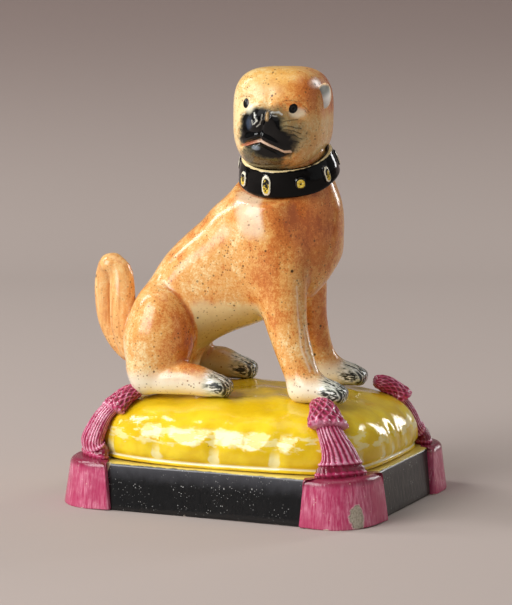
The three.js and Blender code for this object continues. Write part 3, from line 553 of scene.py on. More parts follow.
def smooth_path(stations, count):
    """Rows along a smooth line through stations, at even shares of the way (a Catmull-Rom spline:
    each stretch is the cubic whose end slopes are half the step between its neighbours)."""
    stations = np.array(stations, float)
    ends = np.concatenate([[2 * stations[0] - stations[1]], stations, [2 * stations[-1] - stations[-2]]])
    where = np.linspace(0, len(stations) - 1, count)
    index = np.minimum(where.astype(int), len(stations) - 2)
    t = (where - index)[:, None]
    a, b, c, d = (ends[index + i] for i in range(4))
    terms = (2 * b, (c - a) * t, (2 * a - 5 * b + 4 * c - d) * t ** 2, (3 * b - a - 3 * c + d) * t ** 3)
    return 0.5 * sum(terms)


def bell(value, middle, width):
    """Bell curve: exp of minus the squared distance from the middle in widths."""
    return np.exp(-((value - middle) / width) ** 2)


def round_ends(share, part):
    """Sizes along a rod: a quarter circle closes it over the first and the last part of its way."""
    near = np.clip(np.minimum(share, 1 - share) / part, 0, 1)
    return np.sqrt(np.clip(1 - (1 - near) ** 2, 0, 1))


def swept(path, width, thickness, side, radial, angle):
    """Rings of a strap laid along a path: at each point an oval of half width along the side and
    half thickness along side x tangent, with a radial relief added to both."""
    tangent = unit(np.gradient(path, axis=0))
    across = unit(side - tangent * (tangent @ side)[:, None])
    lift = np.cross(across, tangent)
    cos, sin = np.cos(angle)[None, :, None], np.sin(angle)[None, :, None]
    wide = (width / 2)[:, None, None] + radial[..., None]
    thick = (thickness / 2)[:, None, None] + radial[..., None]
    return path[:, None] + across[:, None] * cos * wide + lift[:, None] * sin * thick


def tassel_rows(name, rows, count, aside):
    """Path and sizes of a tassel from rows of (inset from the corner, height above the block, width,
    thickness). Its upper part is laid aside, most where the skirt meets the knot."""
    rows = smooth_path(rows, count)
    sign = np.array(CORNERS[name])
    corner = sign * (np.array([half_length, half_width]) + TASSEL_CORNER - PLINTH_LEAN)
    climb = rows[:, 1:2]
    path = np.hstack([corner - sign * rows[:, :1], plinth_top + climb])
    side = np.array([-sign[1], sign[0], 0.0]) / math.sqrt(2)
    path = path + aside * fade(climb, 4, 13) * (1 - 0.4 * fade(climb, 14, 18)) * side
    return path, rows[:, 2], rows[:, 3], side


def skirt(name, slip, aside, swing):
    """Pleated skirt: its relief is |cos| of half the pleat count round it, which makes round cords
    with sharp grooves, and the pleats swing aside on their way down. Two hems cross them at the foot."""
    middle = TASSEL_INSET + slip
    rows = [
        (TASSEL_INSET - 0.1, -0.6, 14.0, 5.8),
        (TASSEL_INSET - 0.1, 0.6, 14.6, 6.0),
        (TASSEL_INSET + 0.1, 2.6, 13.2, 5.7),
        (middle + 0.3, 4.6, 10.9, 5.4),
        (middle + 1.2, 8.2, 8.4, 5.0),
        (middle + 2.6, 11.6, 7.0, 4.4),
        (middle + 4.8, 14.6, 6.4, 4.0),
    ]
    path, width, thickness, side = tassel_rows(name, rows, 110, aside)
    angle = full_turn(260)
    share = np.linspace(0, 1, len(path))
    down = 1 - share[:, None]
    swung = angle + swing * np.sin(1.3 * down) * np.exp(-3 * (1 - down) ** 2)
    fold = np.abs(np.cos(SKIRT_PLEATS * swung + 0.5 * np.sin(2 * angle)))
    depth = 0.48 * (0.35 + down) * (0.7 - 0.4 * np.cos(angle))
    height = path[:, 2:] - plinth_top
    hem = bell(height, 3.7, 0.35) + 0.8 * bell(height, 1.0, 0.4)
    above_hem = fade(height, 3.2, 4.4)
    radial = depth * (fold - 0.6) * (0.35 + 0.65 * above_hem) + 0.34 * hem - 0.22 * bell(height, 3.0, 0.3)
    ends = round_ends(share, 0.03)
    rings = swept(path, width * ends, thickness * ends, side, radial * ends[:, None], angle)
    return rings, fold * (0.3 + 0.7 * above_hem) + 0.7 * hem


def knot(name, slip, aside, droop):
    """Netted knot: a bell whose relief is the product of two crossing waves, which leaves round
    meshes between raised cords, with a scalloped fringe of two tiers at its mouth. One side of it
    hangs lower: each point drops by droop x its way to that side."""
    middle = TASSEL_INSET + slip
    rows = [
        (middle + 2.4, 12.3, 10.0, 5.2),
        (middle + 2.9, 13.4, 11.2, 6.0),
        (middle + 3.8, 14.9, 10.0, 5.6),
        (middle + 5.2, 16.5, 8.6, 5.2),
        (TASSEL_INSET + 7.6, 17.5, 7.2, 4.6),
        (TASSEL_INSET + 9.2, 17.9, 5.4, 3.6),
    ]
    path, width, thickness, side = tassel_rows(name, rows, 90, aside)
    angle = full_turn(220)
    share = np.linspace(0, 1, len(path))
    along = share[:, None]
    net = np.abs(np.cos(6 * angle + 13 * along) * np.cos(6 * angle - 13 * along)) ** 0.7
    scallop = np.abs(np.cos(7 * angle))
    tiers = bell(along, 0.1 + 0.05 * scallop, 0.06) + 0.8 * bell(along, 0.35 - 0.05 * scallop, 0.06)
    radial = -0.42 * net * fade(along, 0.2, 0.4) + 0.5 * tiers * scallop
    ends = round_ends(share, 0.07)
    rings = swept(path, width * ends, thickness * ends, side, radial * ends[:, None], angle)
    rings[..., 2] -= droop * fade(along, 1.0, 0.5) * ((rings - path[:, None]) @ side)
    return rings, np.clip(1 - net * fade(along, 0.1, 0.3), 0, 1)


wash = Glaze("puce_wash", Roughness=0.12, IOR=1.6)
cloudy = wash.cloud(3.5)
grain = wash.cloud(0.7, 2.0)
proud = wash.marked("raised") + 0.7 * (grain - 0.5) + 0.5 * (cloudy - 0.5)
wash.colour = proud.fade(0.2, 0.65).mix(PUCE_DEEP, PUCE)
wash.coat(0.75 * (proud + 0.6 * (cloudy - 0.5)).fade(0.72, 1.1), (238, 170, 196))
wash.coat(0.6 * wash.specks(0.7, 0.2, 0.35), (240, 214, 214))
wash.relief(0.5 * grain + 0.5 * cloudy, 0.16)

for corner, (slip, knot_slip, aside, droop, swing) in TASSEL_LAY.items():
    parts = {"skirt": skirt(corner, slip, aside, swing), "knot": knot(corner, knot_slip, aside, droop)}
    for part, (rings, raised) in parts.items():
        tassel = shell(f"tassel_{part}_{corner}", rings)
        mark(tassel, raised=raised)
        fire(tassel, wash, "puce_enamel", "tassel_" + corner)


# Dog's body
# Trunk, legs, feet and tail, pressed in a two-part mould, joined with slip and smoothed by hand.
# Cream glaze over white earthenware is sponged with orange, with fine dark specks from the kiln.

DOG_YAW = math.radians(7)
DOG_OFFSET = -0.9
GRID_STEP = 0.5
FAR = 9.0
NO_CLAY = 1e6
NO_END = 1e3
dog_frame = Matrix.Translation((0, DOG_OFFSET, 0)) @ Matrix.Rotation(DOG_YAW, 4, "Z")
to_dog = dog_frame.inverted()
COLLAR_HEIGHT = 7.7
collar_tilt = Matrix.Rotation(math.radians(-0.2), 4, "Y") @ Matrix.Rotation(math.radians(21.5), 4, "X")
collar_frame = Matrix.Translation((8.7, -0.1, 92.95)) @ collar_tilt


def in_base(points):
    """Points of the dog's own frame (+x its heading, +y its left) in the plinth's frame."""
    matrix = np.array(dog_frame)
    return points @ matrix[:3, :3].T + matrix[:3, 3]


def oval_bar(x, y, z, start, end, cap, power=2.0, ends=(-NO_END, NO_END)):
    """Squared distance to the axis between two stations (x, y, z, width, thickness), and distance to
    the skin of the oval bar round it. The offsets a from the nearest place on the axis, over the
    radii r there, give k = (sum |a/r|^p)^(1/p), and the distance is k - 1 over the length of its
    slope. A power p above 2 squares the oval. Beyond its ends the bar is rounded by cap times r."""
    axis = end[:3] - start[:3]
    length = np.linalg.norm(axis)
    axis = axis / length
    side = np.array([0.0, 1.0, 0.0])
    side = unit(side - axis * (axis @ side))
    lift = np.cross(axis, side)
    x, y, z = x - start[0], y - start[1], z - start[2]
    along = x * axis[0] + y * axis[1] + z * axis[2]
    share = np.clip(along / length, 0, 1)
    over = along - share * length
    wide = start[3] / 2 + (end[3] - start[3]) / 2 * share
    thick = start[4] / 2 + (end[4] - start[4]) / 2 * share
    beyond = cap * np.minimum(wide, thick)
    u = x * side[0] + y * side[1] + z * side[2]
    v = x * lift[0] + y * lift[1] + z * lift[2]
    w = np.clip(over, *ends)
    away = u * u + v * v + over * over
    shares = [np.abs(u / wide), np.abs(v / thick), np.abs(w / beyond)]
    k = sum(share ** power for share in shares) ** (1 / power)
    slopes = [share ** (power - 1) / radius for share, radius in zip(shares, (wide, thick, beyond))]
    slope = np.sqrt(sum(part ** 2 for part in slopes)) * np.maximum(k, 1e-3) ** (1 - power)
    return away, (k - 1) / np.maximum(slope, 1e-3)


def bar_corners(start, end):
    """Lowest and highest corner of the box round a bar."""
    reach = max(start[3:].max(), end[3:].max()) / 2
    return np.minimum(start[:3], end[:3]) - reach, np.maximum(start[:3], end[:3]) + reach


class Clay:
    """A lump of clay, as distances to its skin on a cubic grid: negative inside. Pieces are pressed
    on one after another, and a join is smoothed over a width, as a thumb does with slip."""

    def __init__(self, low, high):
        self.low = np.array(low, float)
        self.field = np.full(np.ceil((np.array(high) - low) / GRID_STEP).astype(int) + 1, FAR, np.float32)

    def block(self, low, high):
        """The part of the grid between two corners, and the places in it."""
        first = np.clip(np.floor((low - self.low) / GRID_STEP).astype(int), 0, None)
        last = np.minimum(np.ceil((high - self.low) / GRID_STEP).astype(int) + 1, self.field.shape)
        cut = tuple(slice(a, b) for a, b in zip(first, last))
        axes = [self.low[i] + GRID_STEP * np.arange(first[i], last[i]) for i in range(3)]
        return cut, np.meshgrid(*axes, indexing="ij", sparse=True)

    def merge(self, cut, places, new, slip):
        """Smooth union: where old and new skin are nearer than the slip's width, their blend takes a
        further width x h x (1 - h) away from the distance, h the share of the new one."""
        width = slip(*places) if callable(slip) else slip
        old = self.field[cut]
        share = np.clip(0.5 + 0.5 * (old - new) / width, 0, 1)
        self.field[cut] = old + (new - old) * share - width * share * (1 - share)

    def press(self, low, high, distance, slip):
        """Presses on a form that is given by its distance and lies between two corners."""
        cut, places = self.block(low - 4, high + 4)
        self.merge(cut, places, distance(*places), slip)

    def bar(self, start, end, slip, cap=0.9):
        """Presses on one oval bar with rounded ends."""
        start, end = np.array(start, float), np.array(end, float)
        low, high = bar_corners(start, end)
        self.press(low, high, lambda x, y, z: oval_bar(x, y, z, start, end, cap)[1], slip)

    def limb(self, stations, count, slip, cap=0.6, power=2.0):
        """A limb: every place is measured from the nearest place on a smooth path through stations
        (x, y, z, width, thickness), as a bar is, and only its two ends are rounded beyond the path."""
        rows = smooth_path(stations, count)
        other = self.fresh()
        nearest = np.full(self.field.shape, NO_CLAY, np.float32)
        last = len(rows) - 2
        for number, (start, end) in enumerate(zip(rows[:-1], rows[1:])):
            ends = (-NO_END if number == 0 else 0, NO_END if number == last else 0)
            low, high = bar_corners(start, end)
            cut, places = self.block(low - 5, high + 5)
            away, distance = oval_bar(*places, start, end, cap, power, ends)
            closer = away < nearest[cut]
            nearest[cut] = np.where(closer, away, nearest[cut])
            other.field[cut] = np.where(closer, distance, other.field[cut])
        self.join(other, slip)

    def fresh(self):
        """An empty grid of the same size."""
        return Clay(self.low, self.low + GRID_STEP * (np.array(self.field.shape) - 1))

    def join(self, other, slip):
        """Presses on all the clay of another grid of the same size."""
        near = np.argwhere(other.field < 0)
        low = other.low + GRID_STEP * near.min(0)
        high = other.low + GRID_STEP * near.max(0)
        cut, places = self.block(low - 5, high + 5)
        self.merge(cut, places, other.field[cut], slip)

    def egg(self, centre, size, slip):
        """An egg with the given centre and three diameters."""
        radii = np.array(size, float) / 2
        centre = np.array(centre, float)

        def distance(*places):
            shares = [(place - middle) / radius for place, middle, radius in zip(places, centre, radii)]
            k1 = np.sqrt(sum(share * share for share in shares))
            k2 = np.sqrt(sum((share / radius) ** 2 for share, radius in zip(shares, radii)))
            return k1 * (k1 - 1) / np.maximum(k2, 1e-4)

        self.press(centre - radii, centre + radii, distance, slip)

    def read(self, field, points):
        """A field's values at points, by straight-line blending between the grid's eight nearest."""
        where = (points - self.low) / GRID_STEP
        base = np.clip(np.floor(where).astype(int), 0, np.array(field.shape) - 2)
        part = where - base
        total = np.zeros(len(points))
        for corner in np.ndindex(2, 2, 2):
            weight = np.prod(np.where(corner, part, 1 - part), axis=1)
            total += weight * field[tuple((base + corner).T)]
        return total


def blurred(field, times):
    """A field averaged with its six neighbours, a few times over."""
    for _ in range(times):
        padded = np.pad(field, 1, mode="edge")
        field = (
            padded[2:, 1:-1, 1:-1] + padded[:-2, 1:-1, 1:-1] + padded[1:-1, 2:, 1:-1]
            + padded[1:-1, :-2, 1:-1] + padded[1:-1, 1:-1, 2:] + padded[1:-1, 1:-1, :-2]
        ) / 6
    return field


body = Clay((-51, -24, 27.5), (31, 24, 101))
trunk_stations = [
    (-27.2, 0, 31, 24, 16),
    (-26.0, 0, 43, 28.6, 20.2),
    (-17.1, 0, 57.9, 27, 25.2),
    (-3.9, 0, 65.8, 29.2, 33.4),
    (5.1, 0, 73.1, 29.4, 34),
]
body.limb(trunk_stations, 26, 1.0, cap=0.75, power=2.5)
neck = [
    (8.4, 4.2, 71, 27, 29),
    (9.6, 3.0, 79, 26.6, 28.2),
    (9.3, 1.9, 85.4, 24.8, 25.2),
    (8.8, 0.6, 90.5, 23, 23),
    (8.3, -0.9, 96, 22.2, 22.2),
]
body.limb(neck, 16, 7.0, cap=0.5)
under_belly = [(-22, 0, 48, 20, 14), (-12, 0, 51.4, 19, 14), (-2, 0, 56, 18, 14), (6, 0, 60, 16, 12)]
body.limb(under_belly, 10, 3.6)
brisket = [(14.5, 0, 72, 18, 16), (12.8, 0, 64, 16, 15), (11.5, 0, 59.5, 13, 12)]
body.limb(brisket, 8, 3.0)
body.field = blurred(body.field, 12)

# How far the left feet (1) and the right ones (-1) stand back, and (x, y) of the foremost toes
FEET_BACK = {1: 2.8, -1: 0.0}
FORE_FEET_FROM = 8
FORE_TOES = (29.5, 16.0)
HIND_TOES = (-2.7, 16.6)


def crease(sharp, soft, low, high):
    """Width of a join that is soft at x = low and sharp from x = high on."""
    return lambda x, y, z: soft + (sharp - soft) * fade(x, low, high)


for side, back in FEET_BACK.items():
    y = HIND_TOES[1] * side
    thigh = body.fresh()
    thigh.egg((-23.6 - 0.8 * back, 0.8 * y, 45.4), (17.8, 17, 26), 1.0)
    thigh.egg((-25.2 - 0.8 * back, 0.74 * y, 50.2), (13, 14.5, 17.5), 3.0)
    thigh.bar((-27, 0.88 * y, 44, 11, 12.6), (-28, 0.96 * y, 37.5, 9, 8.6), 5.0)
    body.join(thigh, crease(0.7, 6.0, -28, -21))
    foot = [
        (-28, y, 33.6, 7.5, 7.4),
        (-21.3, y, 34.2, 8.8, 8.2),
        (-14.8 - 0.5 * back, y, 34.6, 9.4, 8.8),
        (-9.6 - back, y, 33.7, 9.6, 7.6),
        (-4 - back, y, 32.4, 8.5, 5),
    ]
    body.limb(foot, 12, lambda x, y, z: 1.6 + 3 * (1 - fade(x, -27, -22)), cap=0.7)
    y = FORE_TOES[1] * side
    shoulder = [
        (5.8, 0.50 * y, 80, 13, 15.5),
        (8.0, 0.55 * y, 69, 14.8, 19.4),
        (9.9, 0.65 * y, 59, 13.2, 14.4),
        (12.3 - 0.5 * back, 0.79 * y, 49.5, 10.4, 11.2),
        (15.2 - back, 0.88 * y, 41.5, 9.5, 9.9),
        (17.5 - 1.1 * back, 0.94 * y, 36, 9, 9.1),
        (18.4 - 1.1 * back, 0.96 * y, 33, 8.6, 8.6),
    ]
    body.limb(shoulder, 20, crease(1.3, 5.5, 8, 15))
    heel = 16.4 - back
    paw = [
        (heel, 0.95 * y, 33.2, 7.7, 6.8),
        (heel + 4, 0.98 * y, 33.4, 9.1, 7.4),
        (heel + 9, y, 32.7, 9.6, 6.4),
        (heel + 12.4, y, 31.8, 8.6, 4.6),
    ]
    body.limb(paw, 8, 3.0, cap=0.6)


def toes(clay, tip_x, y, z, foot_width, side):
    """Four toes fanned over a foot's end: long eggs whose inner two reach furthest."""
    for number in range(4):
        spread = (number + 0.5) / 4 - 0.5
        x = tip_x - 5.2 * (0.35 + 1.4 * spread * spread)
        clay.bar(
            (x - 1.8, y + side * spread * foot_width * 0.92, z + 1.0, 2.5, 4.2),
            (x + 0.7, y + side * spread * foot_width, z - 0.1, 2.6, 3.8),
            0.55,
        )


for side, back in FEET_BACK.items():
    toes(body, FORE_TOES[0] - back, FORE_TOES[1] * side, 32.4, 9.6, side)
    toes(body, HIND_TOES[0] - back, HIND_TOES[1] * side, 33.0, 9.4, side)

tail_up = [
    (-32.5, -1.2, 37, 7, 7),
    (-38.8, -1.8, 41.0, 6.4, 6.4),
    (-42.9, -2.2, 47.6, 6.0, 6.0),
    (-44.0, -2.6, 56, 5.9, 5.9),
    (-43.1, -3.2, 61.6, 6.2, 6.2),
    (-41.4, -3.9, 63.9, 6.8, 6.8),
]
tail_down = [
    (-41.4, -4.2, 63.9, 6.8, 6.8),
    (-38.4, -4.9, 61.6, 6.6, 6.6),
    (-37.6, -6.0, 55, 7.3, 7.3),
    (-37.0, -6.6, 47, 7.2, 7.2),
    (-35.2, -5.6, 40, 6.4, 6.4),
]
curled = body.fresh()
curled.limb(tail_up, 18, 1.0)
curled.limb(tail_down, 16, lambda x, y, z: 0.25 + 2.5 * fade(z, 61, 64.5))
body.join(curled, 1.5)

# The neck is turned down under the collar, which leaves a shelf for it to stand on
NECK_RADIUS = 13.2
SHELF_GAP = 0.2
cut, (x, y, z) = body.block(np.array([-10, -20, 78]), np.array([27, 20, 101]))
to_collar = np.array(collar_frame.inverted())[:3]
u, v, w = (row[0] * x + row[1] * y + row[2] * z + row[3] for row in to_collar)
shelf = np.minimum(np.hypot(u, v) - NECK_RADIUS, w + COLLAR_HEIGHT / 2 + SHELF_GAP)
body.field[cut] = np.maximum(body.field[cut], shelf)

# The soles are cut level inside the cushion
SOLE = 29.3
below = SOLE - body.low[2] - GRID_STEP * np.arange(body.field.shape[2])
body.field = np.maximum(body.field, below[None, None]).astype(np.float32)

volume = openvdb.FloatGrid(FAR)
volume.copyFromArray(body.field)
places, quads = volume.convertToQuads(0.0)
points = body.low + GRID_STEP * np.asarray(places, float)
quads = np.asarray(quads, int)
a, b, c = (points[quads[:, i]] for i in range(3))
if (a * np.cross(b, c)).sum() < 0:
    quads = quads[:, ::-1]

dog_body = skin("dog_body", in_base(points), quads.tolist())
smoothing = dog_body.modifiers.new("slip", "SMOOTH")
smoothing.factor = 0.5
smoothing.iterations = 3

SPONGE_GROUND = 0.36
SPONGE_DABS = (
    (0.8, 15, -8, 78, 12),
    (0.5, 12, 10, 74, 11),
    (0.8, -13, -18, 46, 8),
    (0.4, -16, 18, 50, 9),
    (0.5, 18, 12, 50, 9),
    (0.35, 8, -14, 60, 8),
    (0.3, -44, 0, 50, 9),
    (0.3, -12, 0, 74, 10),
    (-0.35, -28, -16, 40, 8),
    (-0.2, -6, -12, 66, 7),
)


def body_marks(points):
    """What the glaze is told of each point. Sponge is how thick the orange is dabbed there: bell
    curves (strength, x, y, z, radius) on an even ground. Ahead and beside are measured from the toes'
    tips and from the middle of the foot, and hollow is how far the skin lies in from a blurred one."""
    x, y, z = points.T
    sponge = np.full(len(points), SPONGE_GROUND)
    for strength, *centre, radius in SPONGE_DABS:
        sponge += strength * np.exp(-((points - centre) ** 2).sum(1) / radius ** 2)
    # Painted highlight: the softbox's reflection on the near shoulder, below the collar
    lean = x + 0.25 * (z - 80)
    shoulder_highlight = fade(lean, -4.5, 0.5) * fade(lean, 7.5, 4.5) * fade(y, -4, -8)
    shoulder_highlight *= fade(z, 71, 77) * fade(z, 90, 84)
    thigh = np.array([(x + 23.6) / 8.9, (np.abs(y) - 13.3) / 8.5, (z - 45.4) / 13])
    belly = fade(z, 58.4, 52.6) * fade(x, -18.5, -14) * fade(x, 8, 3) * fade(z, 38, 43)
    belly *= fade(np.linalg.norm(thigh, axis=0), 1.06, 1.18)
    tip, middle = np.where((x > FORE_FEET_FROM)[:, None], FORE_TOES, HIND_TOES).T
    ahead = x - tip + np.where(y > 0, FEET_BACK[1], FEET_BACK[-1])
    tail = fade(x, -33.5, -35.5)
    return {
        "sponge": sponge,
        "pale": fade(z, 38.2, 33.6) * (1 - tail),
        "belly": belly,
        "shoulder_highlight": shoulder_highlight,
        "toe": fade(ahead, -7.5, -4.5) * fade(z, 39.5, 37) * fade(ahead, 3, 2),
        "ahead": ahead,
        "beside": np.abs(y) - middle,
        "tail": tail,
        "hollow": body.read(body.field - blurred(body.field, 4), points),
    }


mark(dog_body, **body_marks(points))


def stroke(across, above, start, end, width, soft=0.14):
    """Brush stroke: 1 within half the width of the straight line between two places, seen along y."""
    (ax, ay), (bx, by) = start, end
    dx, dy = bx - ax, by - ay
    share = ((across - ax) * dx + (above - ay) * dy) / (dx * dx + dy * dy)
    share = share.most(0.0).least(1.0)
    off_x = across - ax - dx * share
    off_y = above - ay - dy * share
    return ((off_x * off_x + off_y * off_y) ** 0.5).fade(width / 2 + soft, width / 2 - soft)


def sponge_on(glaze, density):
    """Cream glaze dabbed with orange by a sponge: blots where clouds of noise pass the density."""
    broad = glaze.cloud(5.5, 3.0) - 0.5
    fine = glaze.cloud(1.2, 3.0, 0.7) - 0.5
    grain = glaze.cloud(0.42, 2.0) - 0.5
    streaks = glaze.cloud(1.6, 2.0, stretch=(1, 1, 0.25)) - 0.5
    amount = density + 1.3 * broad + 1.1 * fine + 1.1 * grain + 0.7 * streaks
    glaze.colour = amount.fade(-0.1, 0.42).mix((252, 224, 166), (237, 174, 98))
    glaze.coat(amount.fade(0.4, 0.85), (216, 128, 60))
    glaze.coat(0.85 * amount.fade(0.8, 1.35), (182, 90, 38))


def speckle(glaze):
    """Dark specks of three sizes burnt into the glaze, crowded in drifts."""
    drift = 0.4 + 1.2 * glaze.cloud(6.0, 2.0).fade(0.35, 0.65)
    glaze.coat(0.5 * drift * glaze.specks(0.85, 0.34, 0.5), (138, 80, 38))
    glaze.coat(0.6 * drift * glaze.specks(1.7, 0.44, 0.35), (84, 52, 28))
    glaze.coat(0.9 * glaze.specks(4.6, 0.62, 0.28), (36, 26, 18))


# Painted highlights down the front edges of the near foreleg: start, end and width
FORELEG_HIGHLIGHTS = (
    ((15.4, 61.0), (16.2, 52.0), 0.28),
    ((16.2, 52.0), (17.4, 45.0), 0.35),
    ((17.4, 45.0), (20.2, 38.4), 0.42),
    ((17.6, 50.0), (18.8, 43.5), 0.28),
    ((18.8, 43.5), (21.6, 38.0), 0.35),
)
TOE_WIDTH = 2.4

fawn = Glaze("sponged_fawn_glaze", to_dog, IOR=1.5)
sponge_on(fawn, fawn.marked("sponge"))
fawn.coat(0.95 * fawn.marked("pale") * (0.7 + 0.6 * fawn.cloud(4.0)), (252, 243, 218))
# Painted highlight on the near shoulder
shoulder_highlight = fawn.marked("shoulder_highlight") + 0.5 * (fawn.cloud(2.2) - 0.5)
fawn.coat(0.65 * shoulder_highlight.fade(0.15, 1.1), (254, 232, 200))
shaded = fawn.along.fade(4.0, 12.0) * fawn.across.fade(6.0, 2.0) * fawn.up.fade(46.0, 40.0)
fawn.coat(0.6 * shaded, (176, 166, 116))
belly = fawn.marked("belly")
green = fawn.cloud(3.5, 2.0) - 0.5
flank = fawn.up.fade(44.0, 57.0).mix((206, 192, 122), (244, 222, 170))
fawn.coat(0.85 * (belly + 0.8 * green).fade(0.2, 0.9), flank)
# Darker in the creases and hollows: glaze pooled there, and painted shade as well
pooled_and_shaded = fawn.marked("hollow").fade(0.02, 0.14)
fawn.coat(0.65 * pooled_and_shaded * (1 - belly), (182, 92, 40))
fawn.coat(0.5 * pooled_and_shaded * belly, (150, 146, 92))
tail = fawn.marked("tail")
fawn.coat(0.45 * tail, (252, 200, 132))
stripes = fawn.cloud(1.3, 2.0, stretch=(1.1, 1.1, 0.12))
fawn.coat(0.4 * tail * stripes.fade(0.5, 0.62), (206, 122, 54))
fawn.coat(0.45 * tail * stripes.fade(0.42, 0.3), (250, 222, 160))
speckle(fawn)
# Painted highlights down the near foreleg
for start, end, width in FORELEG_HIGHLIGHTS:
    line = stroke(fawn.across + 0.6 * green, fawn.up, start, end, width, 0.25)
    fawn.coat(0.55 * line * fawn.along.fade(-3.0, -4.0), (255, 236, 206))
toe = fawn.marked("toe")
ahead = fawn.marked("ahead")
wander = fawn.cloud(1.3) - 0.5
cleft = abs((fawn.marked("beside") + 0.9 * wander + TOE_WIDTH / 2) % TOE_WIDTH - TOE_WIDTH / 2)
brushing = fawn.cloud(0.8, 2.0, stretch=(0.4, 1.5, 1.5))
ink = (ahead.fade(-5.6, -1.5) * 0.34 + 0.12 - cleft).fade(-0.12, 0.08) * brushing.fade(0.38, 0.52)
claw = ahead.fade(-2.2, -0.9) * (0.6 - abs(cleft - TOE_WIDTH / 2) + 0.5 * wander).fade(0.0, 0.3)
smears = brushing.fade(0.6, 0.66) * fawn.up.fade(32.0, 34.0)
glint = brushing.fade(0.42, 0.36)
fawn.coat(0.75 * toe, brushing.fade(0.35, 0.6).mix((240, 244, 234), (184, 196, 184)))
fawn.coat(0.95 * toe * ink.most(smears).most(claw), (14, 16, 18))
fawn.coat(0.8 * toe * glint * (1 - claw), (250, 252, 250))
fawn.paint(Roughness=0.1 + 0.18 * fawn.cloud(3.0))
fawn.relief(0.6 * fawn.cloud(3.0, 1.0, 0.4) + 0.3 * fawn.cloud(0.8, 1.0), 0.05)
legs = ("foreleg_left", "foreleg_right", "hind_leg_left", "hind_leg_right")
fire(dog_body, fawn, "sponged_fawn_glaze", "trunk", *legs, "tail")


# Head
# A squared ball with a broad low muzzle, pressed in a mould and luted to the neck. The mask, eyes,
# brows, whiskers and lips are painted on it with a fine brush under the clear glaze.

HEAD_SIZE = np.array([25.8, 27.4, 27.6])
HEAD_SQUARENESS = 3.1
FACE_ROLL = math.radians(5)
JAW_TAPER = 0.07
CHIN_DROP = 2.5
HEAD_CENTRE = np.array([7.5, 0.0, 106.2])
MUZZLE = (0.7, -4.1)
EYES = ((-7.1, 3.6), (6.4, 3.6))
EYE_SIZES = ((0.95, 1.3), (1.05, 1.25))
NOSTRILS = ((-2.5, 0.3), (1.5, 2.0))
LEFT_LIP = ((-7.2, -7.8), (-6.0, -7.5), (-3.6, -6.5), (-1.0, -5.6))
MOUTH = LEFT_LIP + ((0.6, -6.3), (3.4, -7.3), (5.5, -8.15), (6.9, -8.0))


def dot(across, above, centre, width, height):
    """Round bump: exp of minus the squared distance from the centre, over the two radii."""
    return np.exp(-(((across - centre[0]) / width) ** 2 + ((above - centre[1]) / height) ** 2))


def from_line(across, above, line):
    """Distance to a broken line: the least of the distances to its stretches."""
    nearest = np.full(across.shape, 1e3)
    for (ax, ay), (bx, by) in zip(line[:-1], line[1:]):
        dx, dy = bx - ax, by - ay
        share = np.clip(((across - ax) * dx + (above - ay) * dy) / (dx * dx + dy * dy), 0, 1)
        nearest = np.minimum(nearest, np.hypot(across - ax - share * dx, above - ay - share * dy))
    return nearest


def face_relief(across, above):
    """How far the face stands out at a place on it: muzzle dome, nose lobes with pits, the groove
    between them, upper lip, mouth, chin, eyeballs in their sockets and the brow over each."""
    radius = np.hypot((across - MUZZLE[0]) / 8.6, (above - MUZZLE[1]) / 8.2)
    relief = 4.3 * np.exp(-radius ** 3.2)
    relief += 0.9 * dot(across, above, (-0.6, 0.6), 4.4, 2.6)
    for nostril, wide in zip(NOSTRILS, (1.9, 1.4)):
        relief += 1.35 * dot(across, above, nostril, wide, 2.2)
        relief -= 0.7 * dot(across, above, (nostril[0] - 0.2, nostril[1] - 0.5), 0.5, 0.8)
    relief -= 0.55 * dot(across, above, (-0.2, 0.6), 0.55, 2.2)
    relief -= 0.35 * bell(from_line(across, above, ((-0.5, -0.8), (-1.0, -5.3))), 0, 0.45)
    relief -= 0.95 * bell(from_line(across, above, MOUTH), 0, 0.55)
    relief += 0.4 * bell(from_line(across, above, [(a, b + 1.2) for a, b in MOUTH]), 0, 1.0)
    relief += 0.7 * dot(across, above, (-0.8, -9.6), 4.6, 1.7)
    relief += 0.45 * dot(across, above, (-2.2, -7.9), 1.5, 0.8)
    for eye in EYES:
        relief -= 0.75 * dot(across, above, eye, 2.7, 2.3)
        relief += 0.75 * dot(across, above, eye, 1.25, 1.2)
        relief += 0.35 * dot(across, above, (eye[0], eye[1] + 2.6), 2.6, 0.9)
        relief -= 0.3 * dot(across, above, (eye[0] * 0.86, eye[1] - 2.8), 2.2, 0.8)
    relief -= 0.35 * dot(across, above, (-0.6, 4.2), 1.2, 3.0)
    return relief


